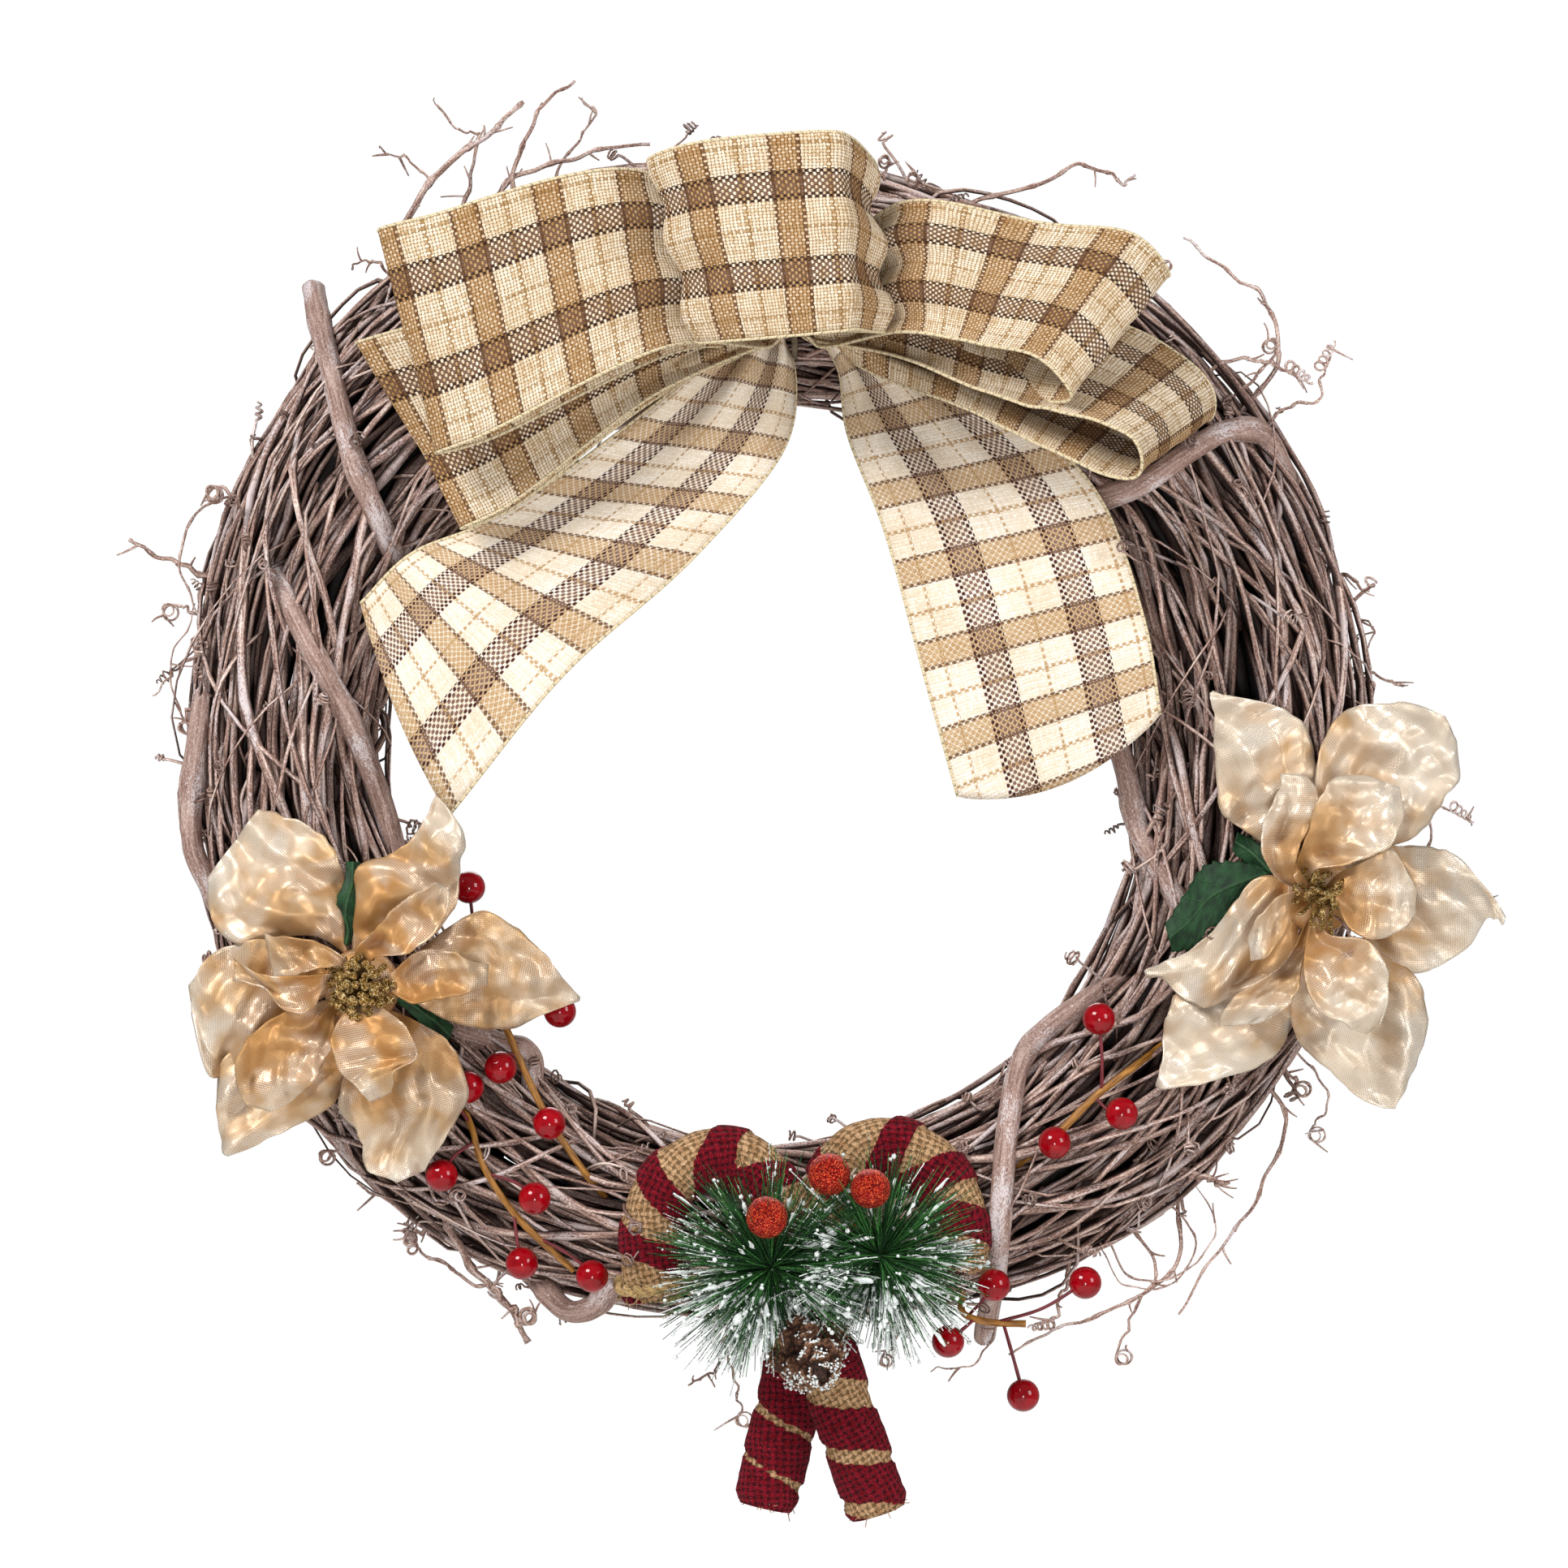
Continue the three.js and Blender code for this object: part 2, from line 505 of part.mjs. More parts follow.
// The berry picks: stems of X, Y, Z points with a radius, and berries at their tips, by X and Z.
const BERRY_PICKS = {
  berry_pick_left_upper: {
    stems: [
      [[-90, -16, -70], [-83, -26, -84], [-71, -29, -110], [-58, -25, -130], [-52, -16, -138]],
      [[-83, -26, -84], [-76, -27, -79], [-66, -26, -80]],
      [[-83, -26, -84], [-91, -25, -62], [-94, -24, -42]],
      [[-77, -27.5, -97], [-81, -29, -93], [-83, -29, -97]],
      [[-71, -29, -110], [-74, -31, -113], [-69, -31, -114]],
    ],
    berries: [[-66, -26, -80], [-94, -23, -42], [-84, -31, -97], [-69, -32, -114]],
  },
  berry_pick_left_lower: {
    stems: [
      [[-98, -16, -106], [-93, -25, -116], [-90, -27, -126], [-80, -26.5, -142], [-62, -20, -160]],
      [[-92, -26, -120], [-98, -29, -124], [-102, -29, -130]],
      [[-88, -27, -130], [-80, -30, -132], [-73.5, -30, -136]],
      [[-80, -26.5, -142], [-79, -29, -150], [-77.5, -28, -157]],
      [[-72, -24, -150], [-64, -27, -154], [-56, -27, -160]],
      [[-94, -24, -114], [-97, -28, -108], [-94, -28, -103]],
    ],
    berries: [[-102, -31, -130], [-73.5, -32, -137], [-77.5, -30, -157], [-56, -29, -161], [-94, -30, -103]],
  },
  berry_pick_right: {
    stems: [
      [[120, -18, -90], [110, -27, -97], [98, -29, -106], [86, -28, -118], [74, -19, -128]],
      [[100, -29, -104], [100, -32, -94], [99, -32, -82]],
      [[98, -29, -106], [102, -32, -110], [106, -32, -111]],
    ],
    berries: [[99, -33, -82], [106, -33, -111], [85.5, -31.5, -120]],
  },
  berry_pick_bottom: {
    stems: [
      [[58, -12, -166], [58, -22, -173], [66, -24, -175.5], [77, -24, -176]],
      [[68, -24, -175.5], [82, -27, -171], [95, -27, -163]],
      [[70, -24, -175.5], [73, -27, -186], [76, -27, -197]],
      [[62, -23, -174], [57, -26, -178], [53, -26, -181]],
      [[60, -22, -173], [64, -28, -168], [67, -28, -163]],
    ],
    berries: [[95, -29, -163], [76, -29, -197.5], [53, -29, -181], [67, -32, -163.5]],
  },
};
function berryPick(name, grow) {
  const pick = BERRY_PICKS[name];
  const parts = pick.stems.map((points, i) => {
    const path = curve(points.map((p) => vec(...p)), i ? 2 : 7);
    return rod(path, (i ? 0.6 : 1.1) + grow, i ? 3 : 4);
  });
  pick.berries.forEach(([x, y, z]) => parts.push(ball(BERRY_RADIUS + grow, x, y, z, 1)));
  return fuse(parts);
}

// The candy canes: padded rods wound with burlap, 20 mm wide and flattened where they cross.
const CANE_HALF_WIDTH = 10;
const CANE_FLATTEN = 0.66;
const CANES = {
  candy_cane_left: {
    path: [
      [-37.5, -27, -169], [-38.5, -27, -154], [-35.5, -27.5, -137], [-24, -28, -127.5], [-10, -29, -127.5],
      [0, -33, -137], [10.5, -42.5, -168], [20, -41, -198], [30, -37, -228],
    ],
    stripes: 11,
  },
  candy_cane_right: {
    path: [
      [56, -27, -160], [56, -27, -144], [50, -27, -131.5], [38, -27, -124], [26, -27, -125],
      [18, -27, -135], [10.5, -27, -168], [4, -26.5, -200], [-2.5, -26, -229],
    ],
    stripes: 11,
  },
};
function candyCane(name, grow) {
  const path = curve(CANES[name].path.map((p) => vec(...p)), 23);
  const wrap = (t) => {
    const turn = (t * CANES[name].stripes) % 1;
    const end = Math.min(1, 0.8 + 8 * Math.min(t, 1 - t));
    return (CANE_HALF_WIDTH - 0.9 + (turn < 0.5 ? 1.0 : 0)) * end + grow;
  };
  return rod(path, wrap, 8, CANE_FLATTEN);
}

// The pine sprays: a twisted wire core that faces the viewer, with needles all round it.
const PINES = {
  pine_spray_left: { x: -1, z: -159, reach: 37, foot: [8, -46, -160], low: -1, seed: 21, needles: 34 },
  pine_spray_right: { x: 31, z: -155, reach: 34, foot: [14, -46.5, -166], low: 1, seed: 22, needles: 32 },
};
const PINE_MIDDLE = 15;
function pineSpray(name, grow) {
  const pine = PINES[name];
  const random = makeRandom(pine.seed);
  const core = [vec(...pine.foot), vec(pine.x, -51, pine.z), vec(pine.x, -57, pine.z), vec(pine.x, -66, pine.z)];
  const parts = [rod(core, 1.7 + grow, 6)];
  for (let i = 0; i < pine.needles; i++) {
    const a = 2.399963 * i;
    const depth = -52 - (13 * i) / pine.needles;
    const tilt = 0.05 + 0.55 * (i / pine.needles) + 0.18 * (random() - 0.5);
    const length = pine.reach * (0.86 + 0.2 * random()) * (1 + 0.08 * Math.cos(a - 0.5 * Math.PI * 3));
    const root = vec(pine.x, depth, pine.z);
    const out = vec(Math.cos(a) * Math.cos(tilt), -Math.sin(tilt), Math.sin(a) * Math.cos(tilt));
    const tip = root.clone().addScaledVector(out, length);
    parts.push(rod([root, tip], (t) => 0.75 - 0.35 * t + grow, 3));
  }
  const spray = fuse(parts);
  return spray.trimByPlane([pine.low, 0, 0], pine.low * PINE_MIDDLE + 0.15 - grow);
}

// The glitter berries, each on a wire that ends at a pine core, and the small cone, facing the viewer.
const GLITTER_BERRIES = {
  glitter_berry_left: { at: [-3, -80, -143], radius: 6.5, wire: [-1, -62, -157] },
  glitter_berry_middle: { at: [17.6, -76, -130], radius: 6.8, wire: [29, -58, -154] },
  glitter_berry_right: { at: [30.5, -80, -135], radius: 6.3, wire: [31, -66.5, -153] },
};
function glitterBerry(name, grow) {
  const berry = GLITTER_BERRIES[name];
  const wire = [vec(...berry.at), vec(...berry.at).lerp(vec(...berry.wire), 0.6), vec(...berry.wire)];
  return fuse([ball(berry.radius + grow, ...berry.at, 2), rod(wire, 0.6 + grow, 4)]);
}

const CONE = { x: 12, y: -60, z: -187, radius: 12.5, length: 22 };
function pineCone(grow) {
  const rings = 4;
  const parts = [];
  const axis = [0, 1, 2, 3].map((i) => vec(CONE.x, CONE.y + 9 - (CONE.length * i) / 3.4, CONE.z));
  parts.push(rod(axis, (t) => CONE.radius * (0.62 - 0.42 * t) + grow, 8));
  parts.push(rod([vec(CONE.x, CONE.y + 6, CONE.z), vec(12, -50, -182), vec(13, -42, -176)], 1.2 + grow, 5));
  for (let ring = 0; ring < rings; ring++) {
    const count = 6 - ring;
    for (let i = 0; i < count; i++) {
      const a = (2 * Math.PI * (i + 0.5 * (ring % 2))) / count;
      const out = vec(Math.cos(a), 0, Math.sin(a));
      const reach = CONE.radius * (1 - 0.15 * ring) + grow;
      const root = vec(CONE.x, CONE.y + 7 - ring * 3.4, CONE.z).addScaledVector(out, 2);
      const tip = root.clone().addScaledVector(out, reach - 2);
      tip.y -= 4 + ring * 0.6;
      parts.push(rod([root, tip], (t) => 1.5 + 1.8 * t + grow, 4, 0.45));
    }
  }
  return fuse(parts);
}

// The twine that ties the cane hooks to the vines, and the wire that ties the bow.
function twineTie(grow) {
  const path = [[-25, -14, -161], [-28, -29, -163], [-37.5, -35.3, -165], [-47, -29, -165], [-46, -9, -160]];
  return rod(curve(path.map((p) => vec(...p)), 7), 2 + grow, 5);
}
function bowTie(grow) {
  const front = KNOT.back - LAYER * 5 + 0.1;
  const path = [
    [KNOT.x, -16, KNOT.z + KNOT.half + 4], [KNOT.x, KNOT.back, KNOT.z + KNOT.half + 3],
    [KNOT.x, front, KNOT.z + KNOT.half + 1], [KNOT.x, front, KNOT.z],
    [KNOT.x, front, KNOT.z - KNOT.half - 1], [KNOT.x, KNOT.back, KNOT.z - KNOT.half - 3],
    [KNOT.x, -12, KNOT.z - KNOT.half - 4],
  ];
  return rod(curve(path.map((p) => vec(...p)), 13), 0.9 + grow, 4);
}

// Every piece as a maker that can also give itself fattened, in order of who gives way: a piece is cut clear
// of all the pieces before it in this list that reach it, by CLEARANCE.
const COLOURS = {
  vine: [0x8a6f66, 0.85],
  ribbon: [0xd9c39a, 0.9],
  petal: [0xe8cfa0, 0.35],
  gold: [0xb8923a, 0.3],
  leaf: [0x1f4d2b, 0.6],
  berry: [0xb5121b, 0.15],
  burlap: [0x7d1a2a, 0.95],
  twine: [0xb89a6a, 0.95],
  pine: [0x1e4a2c, 0.7],
  cone: [0x5a3a28, 0.8],
  wire: [0x6a5a48, 0.4],
};
const makers = [];
const add = (name, colour, make) => makers.push({ name, colour, make });
for (const name of Object.keys(GLITTER_BERRIES)) add(name, "berry", (grow) => glitterBerry(name, grow));
add("pine_cone", "cone", pineCone);
for (const name of Object.keys(PINES)) add(name, "pine", (grow) => pineSpray(name, grow));
add("bow_tie", "wire", bowTie);
for (const name of Object.keys(RIBBONS)) {
  const steps = RIBBON_STEPS[name] || 14;
  add(name, "ribbon", (grow) => sheet(ribbonSurface(name), steps, 2, RIBBON_THICKNESS + 2 * grow, grow));
}
for (const name of Object.keys(FLOWERS)) {
  add(`stamens_${name}`, "gold", (grow) => stamens(name, grow));
  add(`poinsettia_${name}`, "petal", (grow) => poinsettia(name, grow));
  add(`poinsettia_leaves_${name}`, "leaf", (grow) => poinsettiaLeaves(name, grow));
}
for (const name of Object.keys(BERRY_PICKS)) add(name, "berry", (grow) => berryPick(name, grow));
add("twine_tie", "twine", twineTie);
for (const name of Object.keys(CANES)) add(name, "burlap", (grow) => candyCane(name, grow));
for (const [name, points] of Object.entries(BINDING_VINES)) {
  add(name, "vine", (grow) => rod(boundVine(points, VINE_RADIUS, 3.4), VINE_RADIUS + grow, 5));
}

// The arcs of the ring. A twig belongs to the arc that its root is in.
const ARC_SPAN = (2 * Math.PI) / ARCS;
const arcStart = (i) => -0.5 * ARC_SPAN + i * ARC_SPAN;
const ARC_GAP = 0.0012; // half the angle left open between two arcs
const LOOSE_STRANDS = [2, 2, 1, 2, 2, 1, 1, 1]; // of each arc, counted from the viewer's right
const ARC_NAMES = ["right", "upper_right", "top", "upper_left", "left", "lower_left", "bottom", "lower_right"];
function ringArc(i) {
  const from = arcStart(i) + ARC_GAP;
  const to = arcStart(i + 1) - ARC_GAP;
  const loops = Array.from({ length: ARC_SECTIONS }, (_, j) => {
    return ringSection(THREE.MathUtils.lerp(from, to, j / (ARC_SECTIONS - 1)));
  });
  const parts = [skin(loops)];
  const random = makeRandom(31 + i);
  for (let k = 0; k < LOOSE_STRANDS[i]; k++) {
    const a = from + 0.04 + 0.2 * ARC_SPAN * random();
    const b = to - 0.04 - 0.2 * ARC_SPAN * random();
    const turn = -Math.PI * (0.2 + 0.36 * k + 0.12 * random());
    const turnTo = turn + 1.1 * (random() - 0.5);
    parts.push(looseStrand([a, turn], [b, turnTo], 1.4 + 0.5 * random(), 9.5));
  }
  for (const each of TWIGS) {
    const [x, , z] = each.path[0];
    const angle = Math.atan2(z, x);
    const index = Math.floor((((angle + 0.5 * ARC_SPAN) / (2 * Math.PI) + 1) % 1) * ARCS);
    if (index === i) parts.push(twig(each.path, each.thick, each.coil));
  }
  return fuse(parts);
}
for (let i = 0; i < ARCS; i++) add(`vine_ring_${ARC_NAMES[i]}`, "vine", () => ringArc(i));

// The largest body of a solid: a scrap that a cut has freed is dropped.
function largest(shape) {
  return shape.decompose().sort((a, b) => b.volume() - a.volume())[0];
}
function reach(a, b) {
  const [p, q] = [a.boundingBox(), b.boundingBox()];
  return [0, 1, 2].every((k) => p.min[k] <= q.max[k] && q.min[k] <= p.max[k]);
}

const wreath = new THREE.Group();
wreath.name = "christmas_wreath";
wreath.position.z = -HANGING_HEIGHT;
const fattened = [];
for (const { name, colour, make } of makers) {
  let shape = make(0);
  for (const other of fattened) {
    if (reach(shape, other)) shape = shape.subtract(other);
  }
  shape = largest(shape).simplify(0.03);
  if (!name.startsWith("vine_ring")) fattened.push(make(CLEARANCE).add(shape));
  const made = shape.getMesh();
  const geometry = new THREE.BufferGeometry();
  const positions = new Float32Array(made.numVert * 3);
  for (let i = 0; i < made.numVert; i++) {
    positions.set(made.vertProperties.subarray(i * made.numProp, i * made.numProp + 3), 3 * i);
  }
  geometry.setAttribute("position", new THREE.BufferAttribute(positions, 3));
  geometry.setIndex(new THREE.BufferAttribute(made.triVerts, 1));
  geometry.computeVertexNormals();
  const [color, roughness] = COLOURS[colour];
  const material = new THREE.MeshStandardMaterial({ color, roughness, flatShading: true });
  const mesh = new THREE.Mesh(geometry, material);
  mesh.name = name;
  wreath.add(mesh);
}

export default wreath;
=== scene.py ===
"""A christmas wreath: a hoop of dried grapevine dressed with a plaid bow, two cloth poinsettias, berry
picks, and a crossed pair of burlap candy canes with snowy pine. Lengths are millimetres about the middle of
the ring, with X to the viewer's right, Y back to the wall and Z up, until make_piece turns them into the
frame's metres."""

import bpy
import mathutils
import numpy as np
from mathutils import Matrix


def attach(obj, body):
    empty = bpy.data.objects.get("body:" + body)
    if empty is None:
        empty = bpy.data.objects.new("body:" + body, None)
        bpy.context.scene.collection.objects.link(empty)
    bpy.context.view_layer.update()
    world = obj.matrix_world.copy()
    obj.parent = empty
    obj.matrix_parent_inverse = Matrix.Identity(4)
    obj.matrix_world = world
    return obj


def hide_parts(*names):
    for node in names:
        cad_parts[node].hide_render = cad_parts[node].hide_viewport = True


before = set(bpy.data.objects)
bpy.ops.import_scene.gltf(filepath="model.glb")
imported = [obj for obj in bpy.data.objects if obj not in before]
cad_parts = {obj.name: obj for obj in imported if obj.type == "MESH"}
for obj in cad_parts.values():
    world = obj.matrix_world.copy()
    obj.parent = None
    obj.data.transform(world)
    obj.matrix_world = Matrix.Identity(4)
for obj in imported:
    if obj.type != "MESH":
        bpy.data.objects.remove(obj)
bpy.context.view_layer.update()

# The ring is a bundle of grapevines, cut green, wound into a hoop by hand and left to dry.
# Each vine runs part of the way round, sways among its neighbours and dives under them at both ends.
# The bark is grey brown with a lengthwise grain, swollen joints and pale patches of whitewash.
RING_MIDDLE = np.array([147.5, 147.5, 146.5, 146.5, 150, 153.5, 152, 152, 153, 149, 153.5, 153])
RING_HALF_WIDTH = np.array([35.5, 35, 34, 36.5, 37, 33, 28, 31, 28, 25, 29, 33])
RING_HALF_DEPTH = 24
RING_BACK = 20.5
RING_DROP = 109  # the ring's middle lies this far below the hanging point
ARC_NAMES = ["right", "upper_right", "top", "upper_left", "left", "lower_left", "bottom", "lower_right"]
ARC_SPAN = 2 * np.pi / len(ARC_NAMES)
VINE_STEP = 7  # from one point of a vine's line to the next
ROD_SHIFT = 60  # of the grain from one rod to the next, so that no two look alike
GOLDEN_SHARE = 0.618034  # of a turn, which spreads the vines evenly round the section


def unit(vectors):
    """The same directions, each of length one."""
    return vectors / np.maximum(np.linalg.norm(vectors, axis=-1, keepdims=True), 1e-9)


def around(values, angle):
    """A value kept at equal steps round the ring, read at any angle by a cubic through its neighbours."""
    place = np.mod(angle / (2 * np.pi), 1) * len(values)
    i = np.floor(place).astype(int)
    t = place - i
    a, b, c, d = (values[(i + k) % len(values)] for k in (-1, 0, 1, 2))
    return b + 0.5 * t * (c - a + t * (2 * a - 5 * b + 4 * c - d + t * (3 * (b - c) + d - a)))


def on_ring(angle, turn, out):
    """A point of the bundle, at an angle round the ring and a turn round its oval section, which starts at
    the outer edge and goes over the back. It lies out beyond the section's outline, whose back is flat."""
    r = around(RING_MIDDLE, angle) + (around(RING_HALF_WIDTH, angle) + out) * np.cos(turn)
    y = np.minimum((RING_HALF_DEPTH + out) * np.sin(turn), RING_BACK - 1.5)
    return np.stack([r * np.cos(angle), y, r * np.sin(angle)], -1)


def arc_at(angle):
    """Which of the ring's arcs an angle lies in. The first one has the angle 0 at its middle."""
    return np.floor(np.mod(angle + 0.5 * ARC_SPAN, 2 * np.pi) / ARC_SPAN).astype(int)


def distance_along(lines):
    """How far along its line each point is: the running sum of the lengths between neighbours."""
    strides = np.diff(lines, axis=-2, prepend=lines[..., :1, :])
    return np.cumsum(np.linalg.norm(strides, axis=-1), axis=-1)


def ring_faces(rings, sides, turned=False):
    """The faces of a skin over rings of points, which are numbered ring by ring, with one more point after
    them for each end. Quads join each ring to the next, and a fan of triangles closes each end. Turned,
    they face the other way."""
    row, here = np.divmod(np.arange((rings - 1) * sides), sides)
    beside = (here + 1) % sides
    k = np.arange(sides)
    onward = (k + 1) % sides
    if turned:
        here, beside, k, onward = beside, here, onward, k
    quads = np.stack([row * sides + here, row * sides + beside,
                      (row + 1) * sides + beside, (row + 1) * sides + here], 1)
    none = np.full(sides, -1)
    hub = np.full(sides, rings * sides)
    last = (rings - 1) * sides
    fans = [np.stack([hub, onward, k, none], 1), np.stack([hub + 1, last + k, last + onward, none], 1)]
    return np.concatenate([quads, *fans])


def tubes(paths, radii, sides, tone=1.0, flatten=1.0, outward=None):
    """Rods along many paths at once. At each step a ring of points stands square to the path, on a
    direction across it and on the cross product of that with the path. The direction is the one that the
    path strays least in, taken so that it leans to the back. A point's place is its offset from the path's
    line and how far along it is, which a lengthwise grain follows, moved on from rod to rod. Its tone falls
    where it faces away from the outward direction, as painted shade on the side of a vine that faces into
    the bundle."""
    paths = np.asarray(paths, float)
    count, steps = paths.shape[:2]
    along = unit(np.gradient(paths, axis=1))
    least = np.linalg.eigh(np.einsum("nmi,nmj->nij", along, along))[1][:, None, :, 0]
    least = least * np.where(least[..., 1:2] < 0, -1, 1)
    side = unit(least - (least * along).sum(-1, keepdims=True) * along)
    third = np.cross(along, side)
    turn = 2 * np.pi * np.arange(sides) / sides
    radii = np.asarray(radii, float)
    radii = radii if radii.ndim == 3 else np.broadcast_to(radii, (count, steps))[:, :, None]
    u, v = radii * flatten * np.cos(turn), radii * np.sin(turn)
    rings = paths[:, :, None] + u[..., None] * side[:, :, None] + v[..., None] * third[:, :, None]
    far = distance_along(paths) + ROD_SHIFT * np.arange(count)[:, None]
    place = np.stack([u, v, np.broadcast_to(far[:, :, None], u.shape)], -1)
    ends = [0, steps - 1]
    hubs = np.stack([np.zeros((count, 2)), np.zeros((count, 2)), far[:, ends]], -1)
    tone = np.broadcast_to(np.asarray(tone, float), (count, steps))
    shade = np.repeat(tone, sides, axis=1)
    # painted shade: the tone falls on the side of a rod that faces away from the outward direction
    if outward is not None:
        spokes = unit(rings - paths[:, :, None])
        facing = (spokes * outward[:, :, None]).sum(-1).reshape(count, -1)
        shade = shade * np.clip(0.42 + 0.62 * facing, 0.14, 1)
    tones = np.concatenate([shade, tone[:, ends]], 1)
    faces = ring_faces(steps, sides)
    each = (steps * sides + 2) * np.arange(count)[:, None, None]
    return {
        "points": np.concatenate([rings.reshape(count, -1, 3), paths[:, ends]], 1).reshape(-1, 3),
        "faces": np.where(faces < 0, -1, faces + each).reshape(-1, 4),
        "place": np.concatenate([place.reshape(count, -1, 3), hubs], 1).reshape(-1, 3),
        "tone": tones.ravel(),
    }


def make_piece(name, surfaces, finish, nodes=()):
    """A piece of the wreath, from its surfaces set end to end. A face is a row of four point numbers, the
    last of them -1 in a triangle. The piece rides on the one body and stands for the nodes."""
    starts = np.cumsum([0] + [len(s["points"]) for s in surfaces[:-1]])
    points = np.concatenate([s["points"] for s in surfaces])
    faces = np.concatenate([np.where(s["faces"] < 0, -1, s["faces"] + n) for s, n in zip(surfaces, starts)])
    corners = faces[faces >= 0]
    sizes = (faces >= 0).sum(1)
    mesh = bpy.data.meshes.new(name)
    mesh.vertices.add(len(points))
    mesh.vertices.foreach_set("co", ((points - (0, 0, RING_DROP)) / 1000).astype(np.float32).ravel())
    mesh.loops.add(len(corners))
    mesh.loops.foreach_set("vertex_index", corners.astype(np.int32))
    mesh.polygons.add(len(faces))
    mesh.polygons.foreach_set("loop_start", (np.cumsum(sizes) - sizes).astype(np.int32))
    mesh.update(calc_edges=True)
    for key, kind, field in (("place", "FLOAT_VECTOR", "vector"), ("tone", "FLOAT", "value")):
        values = np.concatenate([np.asarray(s[key], np.float32).ravel() for s in surfaces])
        mesh.attributes.new(key, kind, "POINT").data.foreach_set(field, values)
    mesh.shade_smooth()
    mesh.materials.append(finish)
    piece = bpy.data.objects.new(name, mesh)
    bpy.context.scene.collection.objects.link(piece)
    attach(piece, "root")
    if nodes:
        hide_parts(*nodes)
    return piece


def colour(code):
    """A colour written as six hexadecimal digits, as the shader's linear red, green, blue and alpha."""
    shown = np.array([int(code[i : i + 2], 16) for i in (0, 2, 4)]) / 255
    linear = np.where(shown <= 0.04045, shown / 12.92, ((shown + 0.055) / 1.055) ** 2.4)
    return (*linear.tolist(), 1.0)


class Finish:
    """A material as it is laid down: one shader, whose constant sockets are set at once, and the patterns
    that feed its colour, roughness and relief."""

    def __init__(self, name, **constants):
        self.material = bpy.data.materials.new(name)
        self.material.use_nodes = True
        self.tree = self.material.node_tree
        self.shader = self.tree.nodes["Principled BSDF"]
        for key, value in constants.items():
            self.shader.inputs[key.replace("_", " ")].default_value = value

    def feed(self, socket, value):
        """Joins a socket to a pattern, or sets it to a number or colour."""
        if isinstance(value, bpy.types.NodeSocket):
            self.tree.links.new(value, socket)
        else:
            socket.default_value = value

    def node(self, kind, inputs, **settings):
        """A node with its settings and inputs; its outputs are read by name or number."""
        made = self.tree.nodes.new(kind)
        for key, value in settings.items():
            setattr(made, key, value)
        for key, value in inputs.items():
            self.feed(made.inputs[key], value)
        return made.outputs

    def place(self, stretch=(1, 1, 1)):
        """The place on the surface, in millimetres, that the mesh keeps, stretched or squeezed each way."""
        kept = self.node("ShaderNodeAttribute", {}, attribute_name="place")["Vector"]
        return self.node("ShaderNodeVectorMath", {0: kept, 1: stretch}, operation="MULTIPLY")[0]

    def place_parts(self):
        """The three numbers of that place, apart."""
        return self.node("ShaderNodeSeparateXYZ", {0: self.place()})

    def tone(self):
        """The number that the mesh keeps at each point."""
        return self.node("ShaderNodeAttribute", {}, attribute_name="tone")["Fac"]

    def noise(self, place, scale=1.0, detail=3.0):
        """Cloudy noise about 0.5."""
        inputs = {"Vector": place, "Scale": scale, "Detail": detail}
        return self.node("ShaderNodeTexNoise", inputs)["Fac"]

    def arithmetic(self, how, *values):
        """One step of arithmetic on numbers or patterns."""
        return self.node("ShaderNodeMath", dict(enumerate(values)), operation=how)[0]

    def plus(self, first, second):
        """The sum of two numbers or patterns."""
        return self.arithmetic("ADD", first, second)

    def minus(self, first, second):
        """The first, less the second."""
        return self.arithmetic("SUBTRACT", first, second)

    def times(self, first, second):
        """The product of two numbers or patterns."""
        return self.arithmetic("MULTIPLY", first, second)

    def larger(self, first, second):
        """The larger of two, point by point."""
        return self.arithmetic("MAXIMUM", first, second)

    def sine(self, value):
        """The sine of a value."""
        return self.arithmetic("SINE", value)

    def size(self, value):
        """A value without its sign."""
        return self.arithmetic("ABSOLUTE", value)

    def ramp(self, value, *stops):
        """Colours laid along a value: each stop is a position and a colour code."""
        made = self.tree.nodes.new("ShaderNodeValToRGB")
        self.feed(made.inputs[0], value)
        while len(made.color_ramp.elements) < len(stops):
            made.color_ramp.elements.new(0.5)
        for element, (position, code) in zip(made.color_ramp.elements, stops):
            element.position = position
            element.color = colour(code)
        return made.outputs[0]

    def step(self, value, low, high):
        """0 below the low value, 1 above the high one, and a smooth rise between."""
        inputs = {"Value": value, "From Min": low, "From Max": high}
        return self.node("ShaderNodeMapRange", inputs, interpolation_type="SMOOTHSTEP")[0]

    def mix(self, share, first, second, how="MIX"):
        """The first colour, blended with the second by a share."""
        inputs = {0: share, 6: first, 7: second}
        return self.node("ShaderNodeMix", inputs, data_type="RGBA", blend_type=how)[2]

    def dim(self, first, second):
        """The first colour times the second."""
        return self.mix(1.0, first, second, "MULTIPLY")

    def paint(self, pattern):
        """Gives the surface its colour."""
        self.feed(self.shader.inputs["Base Color"], pattern)

    def relief(self, height, depth, strength=1.0):
        """Raises the surface by a height from 0 to 1, times a depth in millimetres."""
        inputs = {"Height": height, "Distance": depth / 1000, "Strength": strength}
        self.feed(self.shader.inputs["Normal"], self.node("ShaderNodeBump", inputs)["Normal"])


